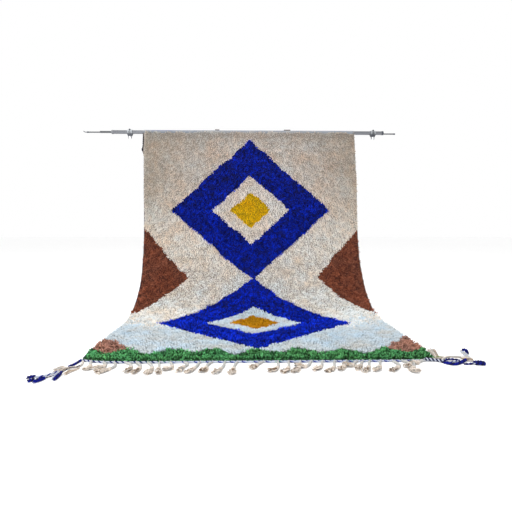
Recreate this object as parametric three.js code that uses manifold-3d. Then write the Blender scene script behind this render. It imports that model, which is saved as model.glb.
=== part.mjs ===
// Knotted wool rug hung by its woven end from a telescopic pole. It drops, sweeps forward and lies on the
// floor. Millimetres, +Z up. The viewer stands on the -Y side, and "forward" below means towards the viewer.

import * as THREE from 'three';
import { mergeVertices } from 'three/addons/utils/BufferGeometryUtils.js';
import Module from 'manifold-3d';

const wasm = await Module();
wasm.setup();

const { lerp, smoothstep, degToRad } = THREE.MathUtils;

// Driving dimensions.
const clearance = 0.3;

const rug = { thickness: 25, edgeThickness: 20, lump: 4.5, topLump: 4 };
const rugGrid = { columns: 42, backColumns: 4, stations: 60 };
const web = { thickness: 2.5, gap: 0.5, wrapTo: 285, wrapStep: 15 };
const lock = { length: 11, shortest: 0.55, spread: 5, frontLift: 10 };

const hang = { drop: 697, sweepStart: 57 };
const sweep = { reach: 793, height: 930, power: 2.53 };
const frontEdge = 1580;

const pole = { height: 1652, radius: 17.5, wall: 1.6, left: -1287, right: 1280, sides: 24 };
const middleTube = { radius: 10, wall: 1.4, sides: 16, leftEnd: -1399, inside: 260 };
const thinTube = { radius: 6, wall: 1, sides: 12, leftEnd: -1505, rightEnd: 1378, inside: 240 };
const endCap = { radius: 19.3, skirt: 12, plate: 2.5, bush: 30 };
const tipPlug = { radius: 6.8, length: 19, neck: 12, rounding: 1.2 };
const tipHook = { radius: 3, reach: 32, rise: 12, elbow: 0.7, sag: 2, sides: 6 };

const clamp = { leftX: -1120, rightX: 1183, radius: 22.5, length: 44 };
const saddle = { top: 13, bottom: 38, topWidth: 56, bottomWidth: 31, depth: 31 };
const spigot = { radius: 12.5, top: 24, bottom: 62, sides: 20 };
const thumbScrew = { angle: 55, head: 9.5, flange: 27, tip: 3.5, reach: 34, shank: 3, sides: 12 };
const clampBolt = { angle: -15, head: 10.5, reach: 29, recess: 4.5, floor: 26, shank: 3, sides: 12 };

const clip = { wall: 3, from: 70, to: 295, ridge: 6, ridgeAngle: 93, ridgeSpread: 14, steps: 20 };
const leftClip = { x: -298, length: 40 };
const rightClip = { x: 365, length: 62 };

const frontCord = { width: 10, height: 7, twine: 1, sections: 60, left: -929, right: 1025 };

// The rug's side edges along its length from the pile's top edge. It drifts a little to the right.
const edgeTable = [
  { along: 0, left: -1003, right: 997 },
  { along: 200, left: -1001, right: 1001 },
  { along: 450, left: -984, right: 1010 },
  { along: 800, left: -981, right: 1015 },
  { along: 1150, left: -977, right: 1020 },
  { along: 1450, left: -969, right: 1029 },
  { along: 1750, left: -965, right: 1035 },
  { along: 2000, left: -950, right: 1048 },
  { along: 2680, left: -947, right: 1048 },
  { along: 3000, left: -916, right: 1016 },
];
// The corners lie a little further back than the middle of the front edge.
const cornerDraw = { left: 20, right: 10, power: 6, over: 420 };

// Width and height of a tassel along its length: root, stem, knot, neck, brushed head, tip.
const tasselProfile = [
  { at: 0, width: 8, height: 6, lift: 0.8 },
  { at: 0.12, width: 9, height: 8, lift: 0 },
  { at: 0.48, width: 11, height: 9, lift: 0 },
  { at: 0.6, width: 19, height: 15, lift: 0 },
  { at: 0.68, width: 14, height: 11, lift: 0 },
  { at: 0.87, width: 29, height: 15, lift: 0 },
  { at: 1, width: 13, height: 6, lift: 0 },
];

// A loose lock's share of its full width and height along its length.
const lockProfile = [
  { at: 0, widthShare: 0.45, heightShare: 0.6, lift: 1 },
  { at: 0.3, widthShare: 0.8, heightShare: 0.85, lift: 0 },
  { at: 0.65, widthShare: 1, heightShare: 1, lift: 0 },
  { at: 0.9, widthShare: 0.75, heightShare: 0.8, lift: 0 },
  { at: 1, widthShare: 0.4, heightShare: 0.5, lift: 0 },
];
// How wide a flat strand is on top, as a share of its foot.
const strandTopShare = 0.55;

// Each tassel: where it leaves the front cord, where its stem bends, where the knot lies and where the head
// ends. A pair is a place across the rug and a distance forward of its front edge.
const tasselTable = [
  { root: -865, bend: [-838, 98], knot: [-829, 138], tip: [-852, 166] },
  { root: -792, bend: [-757, 92], knot: [-772, 116], tip: [-808, 140] },
  { root: -732, bend: [-705, 98], knot: [-722, 150], tip: [-778, 206] },
  { root: -674, bend: [-626, 80], knot: [-613, 144], tip: [-627, 202] },
  { root: -613, bend: [-568, 103], knot: [-571, 158], tip: [-583, 215] },
  { root: -551, bend: [-503, 118], knot: [-503, 174], tip: [-511, 224] },
  { root: -487, bend: [-472, 104], knot: [-462, 168], tip: [-450, 218] },
  { root: -428, bend: [-402, 103], knot: [-412, 142], tip: [-446, 138] },
  { root: -354, bend: [-325, 76], knot: [-343, 118], tip: [-358, 190] },
  { root: -266, bend: [-276, 114], knot: [-294, 162], tip: [-318, 206] },
  { root: -199, bend: [-220, 92], knot: [-224, 144], tip: [-246, 200] },
  { root: -131, bend: [-134, 110], knot: [-151, 160], tip: [-177, 222] },
  { root: -62, bend: [-77, 112], knot: [-80, 160], tip: [-86, 230] },
  { root: 79, bend: [57, 66], knot: [38, 104], tip: [4, 140] },
  { root: 158, bend: [156, 112], knot: [136, 160], tip: [93, 192] },
  { root: 218, bend: [208, 132], knot: [191, 180], tip: [158, 208] },
  { root: 281, bend: [266, 124], knot: [246, 170], tip: [214, 204] },
  { root: 341, bend: [317, 100], knot: [286, 122], tip: [241, 92] },
  { root: 402, bend: [386, 108], knot: [366, 144], tip: [323, 168] },
  { root: 469, bend: [446, 130], knot: [426, 166], tip: [384, 196] },
  { root: 534, bend: [513, 84], knot: [497, 128], tip: [458, 180] },
  { root: 592, bend: [560, 88], knot: [543, 112], tip: [505, 84] },
  { root: 624, bend: [604, 84], knot: [581, 134], tip: [549, 168] },
  { root: 662, bend: [634, 118], knot: [612, 166], tip: [578, 202] },
  { root: 722, bend: [694, 114], knot: [674, 158], tip: [638, 192] },
  { root: 787, bend: [800, 110], knot: [766, 158], tip: [720, 196] },
  { root: 841, bend: [862, 72], knot: [857, 104], tip: [822, 136] },
  { root: 968, bend: [930, 56], knot: [908, 76], tip: [884, 52] },
  { root: 905, bend: [871, 132], knot: [838, 190], tip: [874, 222] },
];

// Twisted cords and loose locks that leave the two front corners. A pair is a place across and forward of
// the pole's axis.
const cornerCord = { wide: 7, thin: 4.6, turn: 96, step: 12, startShare: 0.55, swellsOver: 50 };
const leftCordPath = [
  [-930, 1565.3], [-937, 1566.5], [-944, 1584], [-948, 1620], [-951, 1660], [-957, 1732], [-981, 1800],
  [-1018, 1838], [-1052, 1842],
];
const leftLocks = [
  { width: 24, height: 15, path: [[-1036, 1840], [-1056, 1838], [-1077, 1842]] },
  { width: 26, height: 16, path: [[-984, 1806], [-1000, 1856], [-1022, 1888]] },
  { width: 16, height: 12, path: [[-1004, 1832], [-1026, 1860], [-1044, 1882]] },
  { width: 26, height: 17, path: [[-962, 1752], [-934, 1786], [-914, 1862]] },
  { width: 22, height: 13, path: [[-944, 1634], [-952, 1700], [-980, 1712], [-1012, 1700]] },
  { width: 18, height: 12, path: [[-946, 1640], [-918, 1690], [-926, 1736], [-904, 1770]] },
];
const rightCordPath = [
  [1025.9, 1575.7], [1034, 1577], [1048, 1590], [1064, 1606], [1088, 1630], [1120, 1652], [1156, 1652],
  [1188, 1636], [1214, 1636], [1240, 1652],
];
const rightLocks = [
  { width: 24, height: 16, path: [[1226, 1642], [1250, 1660], [1281, 1666]] },
  { width: 14, height: 12, path: [[1070, 1612], [1100, 1594], [1150, 1588], [1196, 1606], [1212, 1634]] },
  { width: 30, height: 20, path: [[1184, 1628], [1210, 1612], [1238, 1612]] },
  { width: 20, height: 15, path: [[1196, 1612], [1206, 1570], [1232, 1528]] },
  { width: 20, height: 22, path: [[1052, 1596], [1050, 1560], [1060, 1532]] },
];

// Sizes that follow from the ones above.
const rugHalf = rug.thickness / 2;
const webInner = pole.radius + web.gap;
const webOuter = webInner + web.thickness;
const pileTop = hang.drop + sweep.height + rugHalf;
const poleBore = pole.radius - pole.wall;
const middleBore = middleTube.radius - middleTube.wall;
const thinBore = thinTube.radius - thinTube.wall;
const clampBore = pole.radius + clearance;

const wool = new THREE.MeshStandardMaterial({ color: 0xd6cbb8, roughness: 1, metalness: 0 });
const cordWool = new THREE.MeshStandardMaterial({ color: 0xd9ccb4, roughness: 1, metalness: 0 });
const blueCord = new THREE.MeshStandardMaterial({ color: 0x1c2390, roughness: 0.95, metalness: 0 });
const tubeMetal = new THREE.MeshStandardMaterial({ color: 0xa9adb1, roughness: 0.35, metalness: 1 });
const castMetal = new THREE.MeshStandardMaterial({ color: 0x8d9196, roughness: 0.5, metalness: 0.9 });
const darkPlastic = new THREE.MeshStandardMaterial({ color: 0x2f3138, roughness: 0.55, metalness: 0 });
const brownPlastic = new THREE.MeshStandardMaterial({ color: 0x7b6052, roughness: 0.6, metalness: 0 });

// Rows of the scatter below, so that each use has its own numbers.
const scatterRow = { topEdge: 3, frontReach: 7, frontLift: 11, sideLift: 5, leftReach: 1, rightReach: 13 };

const group = new THREE.Group();

function addPiece(name, geometry, material) {
  const mesh = new THREE.Mesh(geometry, material);
  mesh.name = name;
  group.add(mesh);
  return mesh;
}

function toSolid(geometry) {
  const bare = geometry.clone();
  bare.deleteAttribute('normal');
  bare.deleteAttribute('uv');
  const merged = mergeVertices(bare, 1e-4);
  return new wasm.Manifold(new wasm.Mesh({
    numProp: 3,
    vertProperties: new Float32Array(merged.attributes.position.array),
    triVerts: new Uint32Array(merged.index.array),
  }));
}

function toGeometry(solid) {
  const { vertProperties, triVerts } = solid.getMesh();
  const geometry = new THREE.BufferGeometry();
  geometry.setAttribute('position', new THREE.BufferAttribute(vertProperties, 3));
  geometry.setIndex(new THREE.BufferAttribute(triVerts, 1));
  return geometry;
}

// A repeatable number from 0 to 1 for a pair of counters.
function scatter(i, j) {
  const wave = Math.sin(i * 12.9898 + j * 78.233) * 43758.5453;
  return wave - Math.floor(wave);
}

// A closed skin that is put together from rows of points, each row running from left to right.
function makeSkin() {
  const points = [];
  const faces = [];

  function add(x, forward, z) {
    points.push(x, -forward, z);
    return points.length / 3 - 1;
  }

  // Joins two rows that may have different counts, always stepping along the row that lags behind.
  function zip(upper, lower) {
    let i = 0;
    let j = 0;
    while (i < upper.length - 1 || j < lower.length - 1) {
      const upperNext = (i + 1) / (upper.length - 1);
      const lowerNext = (j + 1) / (lower.length - 1);
      if (j === lower.length - 1 || (i < upper.length - 1 && upperNext <= lowerNext)) {
        faces.push(upper[i], lower[j], upper[i + 1]);
        i += 1;
      } else {
        faces.push(upper[i], lower[j], lower[j + 1]);
        j += 1;
      }
    }
  }

  function face(...loop) {
    for (let k = 1; k < loop.length - 1; k += 1) {
      faces.push(loop[0], loop[k], loop[k + 1]);
    }
  }

  // A pointed lock of pile that stands on a four-cornered patch.
  function spike(loop, tip) {
    for (let k = 0; k < loop.length; k += 1) {
      faces.push(loop[k], loop[(k + 1) % loop.length], tip);
    }
  }

  function geometry() {
    const result = new THREE.BufferGeometry();
    result.setAttribute('position', new THREE.Float32BufferAttribute(points, 3));
    result.setIndex(faces);
    return result;
  }

  return { points, add, zip, face, spike, geometry };
}

// The rug's middle layer seen from the side: a slight lean while it hangs, a quarter superellipse, then the
// floor. x is the distance forward of the pole's axis and y is the height.
function drapeLine() {
  const line = [];
  const addToLine = (forward, height) => line.push(new THREE.Vector2(forward, height));
  const hangSteps = 40;
  const sweepSteps = 240;
  for (let k = 0; k < hangSteps; k += 1) {
    const t = k / hangSteps;
    addToLine(lerp(webInner + rugHalf, hang.sweepStart, smoothstep(t, 0, 1)), pileTop - t * hang.drop);
  }
  for (let k = 0; k <= sweepSteps; k += 1) {
    const angle = (Math.PI / 2) * (k / sweepSteps);
    const across = 1 - Math.cos(angle) ** (2 / sweep.power);
    const down = Math.sin(angle) ** (2 / sweep.power);
    addToLine(hang.sweepStart + sweep.reach * across, rugHalf + sweep.height * (1 - down));
  }
  addToLine(frontEdge, rugHalf);
  return line;
}

const drape = drapeLine();
const drapeLengths = [0];
for (let k = 1; k < drape.length; k += 1) {
  drapeLengths.push(drapeLengths[k - 1] + drape[k].distanceTo(drape[k - 1]));
}
const pileLength = drapeLengths[drape.length - 1];

// The middle layer's point at a length along the rug, and the direction from there towards the pile's tips.
function drapeAt(along) {
  let k = 1;
  while (k < drape.length - 1 && drapeLengths[k] < along) {
    k += 1;
  }
  const t = (along - drapeLengths[k - 1]) / (drapeLengths[k] - drapeLengths[k - 1]);
  const point = drape[k - 1].clone().lerp(drape[k], t);
  const run = drape[k].clone().sub(drape[k - 1]).normalize();
  return { point, normal: new THREE.Vector2(-run.y, run.x) };
}

function edgesAt(along) {
  const next = edgeTable.findIndex((row) => row.along > along);
  const [from, to] = [edgeTable[next - 1], edgeTable[next]];
  const t = smoothstep(along, from.along, to.along);
  return { left: lerp(from.left, to.left, t), right: lerp(from.right, to.right, t) };
}

function drawBack(share, along) {
  const side = 2 * share - 1;
  const amount = side < 0 ? cornerDraw.left : cornerDraw.right;
  const nearEnd = smoothstep(along, pileLength - cornerDraw.over, pileLength);
  return amount * Math.abs(side) ** cornerDraw.power * nearEnd;
}

// How far forward the rug's front edge lies at a place across it.
function frontEdgeAt(x) {
  const { left, right } = edgesAt(pileLength);
  const share = THREE.MathUtils.clamp((x - left) / (right - left), 0, 1);
  return frontEdge - drawBack(share, pileLength);
}

// The rug: lumpy pile side, flat back, pointed locks round its rim, and the thin woven end wound round the
// pole.
function rugGeometry() {
  const skin = makeSkin();

  // A row of points across the rug, off its middle layer by an offset that may change along the row.
  function row(count, along, offsetAt) {
    const { left, right } = edgesAt(along);
    const { point, normal } = drapeAt(along);
    return Array.from({ length: count + 1 }, (_, i) => {
      const share = i / count;
      const offset = offsetAt(i);
      const forward = point.x + normal.x * offset - drawBack(share, along);
      return skin.add(lerp(left, right, share), forward, point.y + normal.y * offset);
    });
  }

  // A two-point row of the woven end.
  function webRow(forward, z) {
    const { left, right } = edgesAt(0);
    return [skin.add(left, forward, z), skin.add(right, forward, z)];
  }

  const pileRows = [];
  const backRows = [];
  for (let j = 0; j <= rugGrid.stations; j += 1) {
    const along = (pileLength * j) / rugGrid.stations;
    const pileOffset = (i) => {
      const atSide = i === 0 || i === rugGrid.columns;
      const height = atSide ? rug.edgeThickness : rug.thickness;
      return height - rugHalf + rug.lump * (2 * scatter(i, j) - 1);
    };
    pileRows.push(row(rugGrid.columns, along, pileOffset));
    backRows.push(row(rugGrid.backColumns, along, () => -rugHalf));
  }
  for (const index of pileRows[0]) {
    skin.points[index * 3 + 2] += rug.topLump * (2 * scatter(index, scatterRow.topEdge) - 1);
  }

  const rimRow = row(rugGrid.columns, pileLength, () => lock.frontLift - rugHalf);

  const innerRows = [];
  const outerRows = [webRow(webOuter, pileTop)];
  for (let angle = 0; angle <= web.wrapTo; angle += web.wrapStep) {
    const [c, s] = [Math.cos(degToRad(angle)), Math.sin(degToRad(angle))];
    innerRows.push(webRow(webInner * c, pole.height + webInner * s));
    outerRows.push(webRow(webOuter * c, pole.height + webOuter * s));
  }

  const loop = [...backRows.slice().reverse(), ...innerRows, ...outerRows.slice().reverse(), ...pileRows];
  for (let k = 0; k < loop.length - 1; k += 1) {
    skin.zip(loop[k], loop[k + 1]);
  }
  skin.zip(rimRow, backRows[rugGrid.stations]);

  // Locks along the front, above the twined cord that lies against the edge.
  const lastPile = pileRows[rugGrid.stations];
  for (let i = 0; i < rugGrid.columns; i += 1) {
    const share = (i + 0.5) / rugGrid.columns;
    const { left, right } = edgesAt(pileLength);
    const reach = lock.length * lerp(lock.shortest, 1, scatter(i, scatterRow.frontReach));
    const forward = frontEdge - drawBack(share, pileLength) + reach;
    const z = lock.frontLift + lock.spread * (1 + scatter(i, scatterRow.frontLift));
    const tip = skin.add(lerp(left, right, share), forward, z);
    skin.spike([lastPile[i], rimRow[i], rimRow[i + 1], lastPile[i + 1]], tip);
  }

  // Locks along both sides, and the plain end faces of the woven end.
  const sides = [
    {
      way: -1,
      share: 0,
      reachRow: scatterRow.leftReach,
      pick: (list) => list[0],
      turn: (list) => list.slice().reverse(),
    },
    {
      way: 1,
      share: 1,
      reachRow: scatterRow.rightReach,
      pick: (list) => list[list.length - 1],
      turn: (list) => list,
    },
  ];
  for (const { way, share, reachRow, pick, turn } of sides) {
    for (let j = 0; j < rugGrid.stations; j += 1) {
      const along = (pileLength * (j + 0.5)) / rugGrid.stations;
      const { left, right } = edgesAt(along);
      const { point, normal } = drapeAt(along);
      const offset = lock.spread * (scatter(j, scatterRow.sideLift) - 0.5);
      const reach = lock.length * lerp(lock.shortest, 1, scatter(j, reachRow));
      const x = lerp(left, right, share) + way * reach;
      const forward = point.x + normal.x * offset - drawBack(share, along);
      const tip = skin.add(x, forward, point.y + normal.y * offset);
      const patch = [pileRows[j], pileRows[j + 1], backRows[j + 1], backRows[j]].map(pick);
      skin.spike(turn(patch), tip);
    }
    skin.face(...turn([lastPile, rimRow, backRows[rugGrid.stations]].map(pick)));
    skin.face(...turn([pileRows[0], backRows[0], outerRows[0]].map(pick)));
    const inner = [backRows[0], ...innerRows].map(pick);
    const outer = outerRows.map(pick);
    for (let k = 0; k < inner.length - 1; k += 1) {
      skin.face(...turn([outer[k], inner[k], inner[k + 1], outer[k + 1]]));
    }
  }
  return skin.geometry();
}

// A closed strand skinned over rings of corners. Each ring runs anticlockwise as seen from behind.
function loft(rings) {
  const count = rings[0].length;
  const faces = [];
  for (let k = 0; k < rings.length - 1; k += 1) {
    for (let i = 0; i < count; i += 1) {
      const [a, b] = [k * count + i, k * count + ((i + 1) % count)];
      faces.push(a, a + count, b + count, a, b + count, b);
    }
  }
  const end = (rings.length - 1) * count;
  for (let i = 1; i < count - 1; i += 1) {
    faces.push(0, i, i + 1, end, end + i + 1, end + i);
  }
  const geometry = new THREE.BufferGeometry();
  geometry.setFromPoints(rings.flat());
  geometry.setIndex(faces);
  return geometry;
}

function floorCurve(pairs) {
  const points = pairs.map(([x, forward]) => new THREE.Vector3(x, -forward, 0));
  return new THREE.CatmullRomCurve3(points, false, 'centripetal');
}

// The direction to the right of a curve on the floor.
function rightOf(curve, at) {
  const run = curve.getTangentAt(at);
  return new THREE.Vector3(run.y, -run.x, 0).normalize();
}

// A lock of four sides that lies on the floor: flat below, narrower on top.
function flatStrand(curve, profile) {
  const rings = profile.map(({ at, width, height, lift }) => {
    const centre = curve.getPointAt(at);
    const right = rightOf(curve, at);
    const corner = (side, z) => centre.clone().addScaledVector(right, (side * width) / 2).setZ(z);
    const top = lift + height;
    return [corner(-1, lift), corner(1, lift), corner(strandTopShare, top), corner(-strandTopShare, top)];
  });
  return loft(rings);
}

// A cord of four sides that turns about its own run, and swells from the thin cord on the rug's edge.
function twistedCord(curve) {
  const fullRadius = Math.hypot(cornerCord.wide, cornerCord.thin);
  const cornerAngle = Math.atan2(cornerCord.thin, cornerCord.wide);
  const length = curve.getLength();
  const steps = Math.round(length / cornerCord.step);
  const rings = Array.from({ length: steps + 1 }, (_, k) => {
    const at = k / steps;
    const swell = smoothstep(at * length, 0, cornerCord.swellsOver);
    const radius = fullRadius * lerp(cornerCord.startShare, 1, swell);
    const centre = curve.getPointAt(at).setZ(radius);
    const right = rightOf(curve, at);
    const twist = (2 * Math.PI * at * length) / cornerCord.turn;
    const angles = [-cornerAngle, cornerAngle, Math.PI - cornerAngle, Math.PI + cornerAngle];
    return angles.map((angle) => centre.clone()
      .addScaledVector(right, radius * Math.cos(angle + twist))
      .add(new THREE.Vector3(0, 0, radius * Math.sin(angle + twist))));
  });
  return loft(rings);
}

function fringeGeometry() {
  const halfWidth = frontCord.width / 2;
  const centreAt = (x) => frontEdgeAt(x) + web.gap + halfWidth;
  const cordPairs = Array.from({ length: frontCord.sections + 1 }, (_, k) => {
    const x = lerp(frontCord.left, frontCord.right, k / frontCord.sections);
    return [x, centreAt(x)];
  });
  const cordProfile = cordPairs.map((_, k) => {
    const swell = (k % 2) * frontCord.twine;
    const at = k / frontCord.sections;
    return { at, width: frontCord.width - swell, height: frontCord.height + swell, lift: 0 };
  });
  let solid = toSolid(flatStrand(floorCurve(cordPairs), cordProfile));
  for (const { root, bend, knot, tip } of tasselTable) {
    const laid = [bend, knot, tip].map(([x, out]) => [x, frontEdgeAt(x) + out]);
    const pairs = [[root, centreAt(root)], ...laid];
    solid = solid.add(toSolid(flatStrand(floorCurve(pairs), tasselProfile)));
  }
  return toGeometry(solid);
}

// A corner's twisted cord with the thick looped ends and loose locks that grow from it.
function cornerGeometry(cordPath, locks) {
  let solid = toSolid(twistedCord(floorCurve(cordPath)));
  for (const { width, height, path } of locks) {
    const profile = lockProfile.map(({ at, widthShare, heightShare, lift }) => (
      { at, width: width * widthShare, height: height * heightShare, lift }
    ));
    solid = solid.add(toSolid(flatStrand(floorCurve(path), profile)));
  }
  return toGeometry(solid);
}

// A turned piece whose axis is Y. The outline holds radii and distances along it, the outer wall going up.
function turned(outline, sides) {
  const points = outline.map(([radius, along]) => new THREE.Vector2(radius, along));
  if (points[0].x > 0) {
    points.push(points[0].clone());
  }
  return new THREE.LatheGeometry(points, sides);
}

function turnedAlongX(outline, sides) {
  return turned(outline, sides).rotateZ(-Math.PI / 2);
}

function tubeAlongX(outer, inner, from, to, sides) {
  return turnedAlongX([[outer, from], [outer, to], [inner, to], [inner, from]], sides);
}

function rod(radius, from, to, sides) {
  return turned([[0, from], [radius, from], [radius, to], [0, to]], sides);
}

function upright(radius, from, to) {
  return rod(radius, from, to, spigot.sides).rotateX(Math.PI / 2);
}

// A ring cap with a skirt outside the main tube's end, and for the drawn-out middle tube a bush inside it.
function endCapGeometry(hole, bushLength) {
  const skirtBore = pole.radius + clearance;
  const bushRadius = poleBore - clearance;
  const bush = [[hole, -bushLength], [bushRadius, -bushLength], [bushRadius, clearance]];
  const outline = [
    [endCap.radius, -endCap.skirt],
    [endCap.radius, endCap.plate],
    [hole, endCap.plate],
    ...(bushLength > 0 ? bush : [[hole, clearance]]),
    [skirtBore, clearance],
    [skirtBore, -endCap.skirt],
  ];
  return turnedAlongX(outline, pole.sides);
}

function tipPlugGeometry() {
  const { radius, length, neck, rounding } = tipPlug;
  const neckRadius = thinBore - clearance;
  const outline = [
    [0, -neck],
    [neckRadius, -neck],
    [neckRadius, clearance],
    [radius, clearance],
    [radius, length - rounding],
    [radius - rounding, length],
    [0, length],
  ];
  return turnedAlongX(outline, thinTube.sides);
}

// The bent wire at the pole's left tip.
function tipHookGeometry() {
  const rim = new THREE.Path().absarc(0, 0, tipHook.radius, 0, 2 * Math.PI).getPoints(tipHook.sides);
  const section = new THREE.Shape(rim.slice(0, -1));
  const path = new THREE.QuadraticBezierCurve3(
    new THREE.Vector3(0, 0, 0),
    new THREE.Vector3(-tipHook.reach * tipHook.elbow, 0, -tipHook.sag),
    new THREE.Vector3(-tipHook.reach, 0, tipHook.rise),
  );
  return new THREE.ExtrudeGeometry(section, { extrudePath: path, steps: 8, bevelEnabled: false });
}

// The holes of the thumb screw and the bolt run straight out from the pole's axis.
function towards(geometry, angle) {
  return geometry.rotateX(Math.PI - degToRad(angle));
}

// The cast clamp: a collar round the main tube that narrows below into a socket for an upright.
function clampGeometry() {
  const alongPole = (radius, half) => {
    const outline = [[0, -half], [radius, -half], [radius, half], [0, half]];
    return turnedAlongX(outline, pole.sides);
  };
  const collar = alongPole(clamp.radius, clamp.length / 2);
  const outline = new THREE.Shape([
    new THREE.Vector2(-saddle.bottomWidth / 2, -saddle.bottom),
    new THREE.Vector2(saddle.bottomWidth / 2, -saddle.bottom),
    new THREE.Vector2(saddle.topWidth / 2, -saddle.top),
    new THREE.Vector2(-saddle.topWidth / 2, -saddle.top),
  ]);
  const body = new THREE.ExtrudeGeometry(outline, { depth: saddle.depth, bevelEnabled: false });
  body.translate(0, 0, -saddle.depth / 2).rotateX(Math.PI / 2);
  const bore = alongPole(clampBore, saddle.topWidth);
  const socket = upright(spigot.radius + clearance, -spigot.bottom, clearance - spigot.top);
  let solid = toSolid(collar).add(toSolid(body)).subtract(toSolid(bore)).subtract(toSolid(socket));
  for (const { angle, shank, sides } of [thumbScrew, clampBolt]) {
    solid = solid.subtract(toSolid(towards(rod(shank + clearance, 0, clamp.radius * 1.5, sides), angle)));
  }
  return toGeometry(solid);
}

function thumbScrewGeometry() {
  const seat = clamp.radius + clearance;
  const { shank, head, flange, tip, reach, sides, angle } = thumbScrew;
  const outline = [
    [0, clampBore],
    [shank, clampBore],
    [shank, seat],
    [head, seat],
    [head, flange],
    [tip, reach],
    [0, reach],
  ];
  return towards(turned(outline, sides), angle);
}

function clampBoltGeometry() {
  const seat = clamp.radius + clearance;
  const { shank, head, reach, recess, floor, sides, angle } = clampBolt;
  const outline = [
    [0, clampBore],
    [shank, clampBore],
    [shank, seat],
    [head, seat],
    [head, reach],
    [recess, reach],
    [recess, floor],
    [0, floor],
  ];
  return towards(turned(outline, sides), angle);
}

// A snap clip: an open ring round the wound cloth with a raised rib on top, drawn out along X.
function clipGeometry(length) {
  const inner = webOuter + clearance;
  const outerPoints = [];
  const innerPoints = [];
  for (let k = 0; k <= clip.steps; k += 1) {
    const angle = lerp(clip.from, clip.to, k / clip.steps);
    const [c, s] = [-Math.cos(degToRad(angle)), Math.sin(degToRad(angle))];
    const rib = clip.ridge * Math.exp(-(((angle - clip.ridgeAngle) / clip.ridgeSpread) ** 2));
    const outer = inner + clip.wall + rib;
    outerPoints.push(new THREE.Vector2(outer * c, outer * s));
    innerPoints.push(new THREE.Vector2(inner * c, inner * s));
  }
  const outline = new THREE.Shape([...outerPoints, ...innerPoints.reverse()]);
  const geometry = new THREE.ExtrudeGeometry(outline, { depth: length, bevelEnabled: false });
  const [x, y, z] = [new THREE.Vector3(1, 0, 0), new THREE.Vector3(0, 1, 0), new THREE.Vector3(0, 0, 1)];
  return geometry.translate(0, 0, -length / 2).applyMatrix4(new THREE.Matrix4().makeBasis(y, z, x));
}

addPiece('rug_body', rugGeometry(), wool);
addPiece('fringe', fringeGeometry(), cordWool);
addPiece('left_corner_cord', cornerGeometry(leftCordPath, leftLocks), blueCord);
addPiece('right_corner_cord', cornerGeometry(rightCordPath, rightLocks), blueCord);

// The inner tubes lie on the bottom of the bore that holds them. The left bush carries its middle tube.
const lieInPole = poleBore - middleTube.radius - clearance;
const lieInMiddle = middleBore - thinTube.radius - clearance;
const poleParts = new THREE.Group();
poleParts.position.z = pole.height;
group.add(poleParts);

function addPolePart(name, geometry, material, x = 0, z = 0) {
  const mesh = addPiece(name, geometry, material);
  mesh.position.set(x, 0, z);
  poleParts.add(mesh);
  return mesh;
}

addPolePart('main_tube', tubeAlongX(pole.radius, poleBore, pole.left, pole.right, pole.sides), tubeMetal);

const middleLength = middleTube.inside + (pole.left - middleTube.leftEnd);
const middleGeometry = tubeAlongX(middleTube.radius, middleBore, 0, middleLength, middleTube.sides);
addPolePart('left_middle_tube', middleGeometry, tubeMetal, middleTube.leftEnd);
addPolePart('right_middle_tube', middleGeometry.clone(), tubeMetal, pole.right - middleLength, -lieInPole);

const leftThinLength = middleTube.leftEnd - thinTube.leftEnd + thinTube.inside;
const leftThin = tubeAlongX(thinTube.radius, thinBore, 0, leftThinLength, thinTube.sides);
addPolePart('left_thin_tube', leftThin, tubeMetal, thinTube.leftEnd, -lieInMiddle);
const rightThinLength = thinTube.rightEnd - pole.right + thinTube.inside;
const rightThin = tubeAlongX(thinTube.radius, thinBore, -rightThinLength, 0, thinTube.sides);
addPolePart('right_thin_tube', rightThin, tubeMetal, thinTube.rightEnd, -lieInPole - lieInMiddle);

const bushCap = endCapGeometry(middleTube.radius + clearance, endCap.bush);
const leftCap = addPolePart('left_end_cap', bushCap, darkPlastic, pole.left);
leftCap.rotation.z = Math.PI;
addPolePart('right_end_cap', endCapGeometry(poleBore - clearance, 0), darkPlastic, pole.right);

const plug = tipPlugGeometry();
const leftPlug = addPolePart('left_tip_plug', plug, darkPlastic, thinTube.leftEnd, -lieInMiddle);
leftPlug.rotation.z = Math.PI;
addPolePart('right_tip_plug', plug.clone(), darkPlastic, thinTube.rightEnd, -lieInPole - lieInMiddle);
const hookX = thinTube.leftEnd - tipPlug.length - clearance;
addPolePart('left_tip_hook', tipHookGeometry(), darkPlastic, hookX, -lieInMiddle);

for (const [side, x] of [['left', clamp.leftX], ['right', clamp.rightX]]) {
  addPolePart(`${side}_clamp`, clampGeometry(), castMetal, x);
  addPolePart(`${side}_thumb_screw`, thumbScrewGeometry(), darkPlastic, x);
  addPolePart(`${side}_clamp_bolt`, clampBoltGeometry(), castMetal, x);
  addPolePart(`${side}_spigot`, upright(spigot.radius, -spigot.bottom, -spigot.top), tubeMetal, x);
}

for (const [side, { x, length }] of [['left', leftClip], ['right', rightClip]]) {
  addPolePart(`${side}_clip`, clipGeometry(length), brownPlastic, x);
}

// The origin is the middle of the footprint, on the floor.
const extent = new THREE.Box3().setFromObject(group);
const middle = extent.getCenter(new THREE.Vector3());
group.position.set(-middle.x, -middle.y, -extent.min.z);

export default group;
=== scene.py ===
# Knotted wool rug that hangs from a telescopic pole and sweeps out over the floor. Metres, +Z up.
import math

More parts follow.
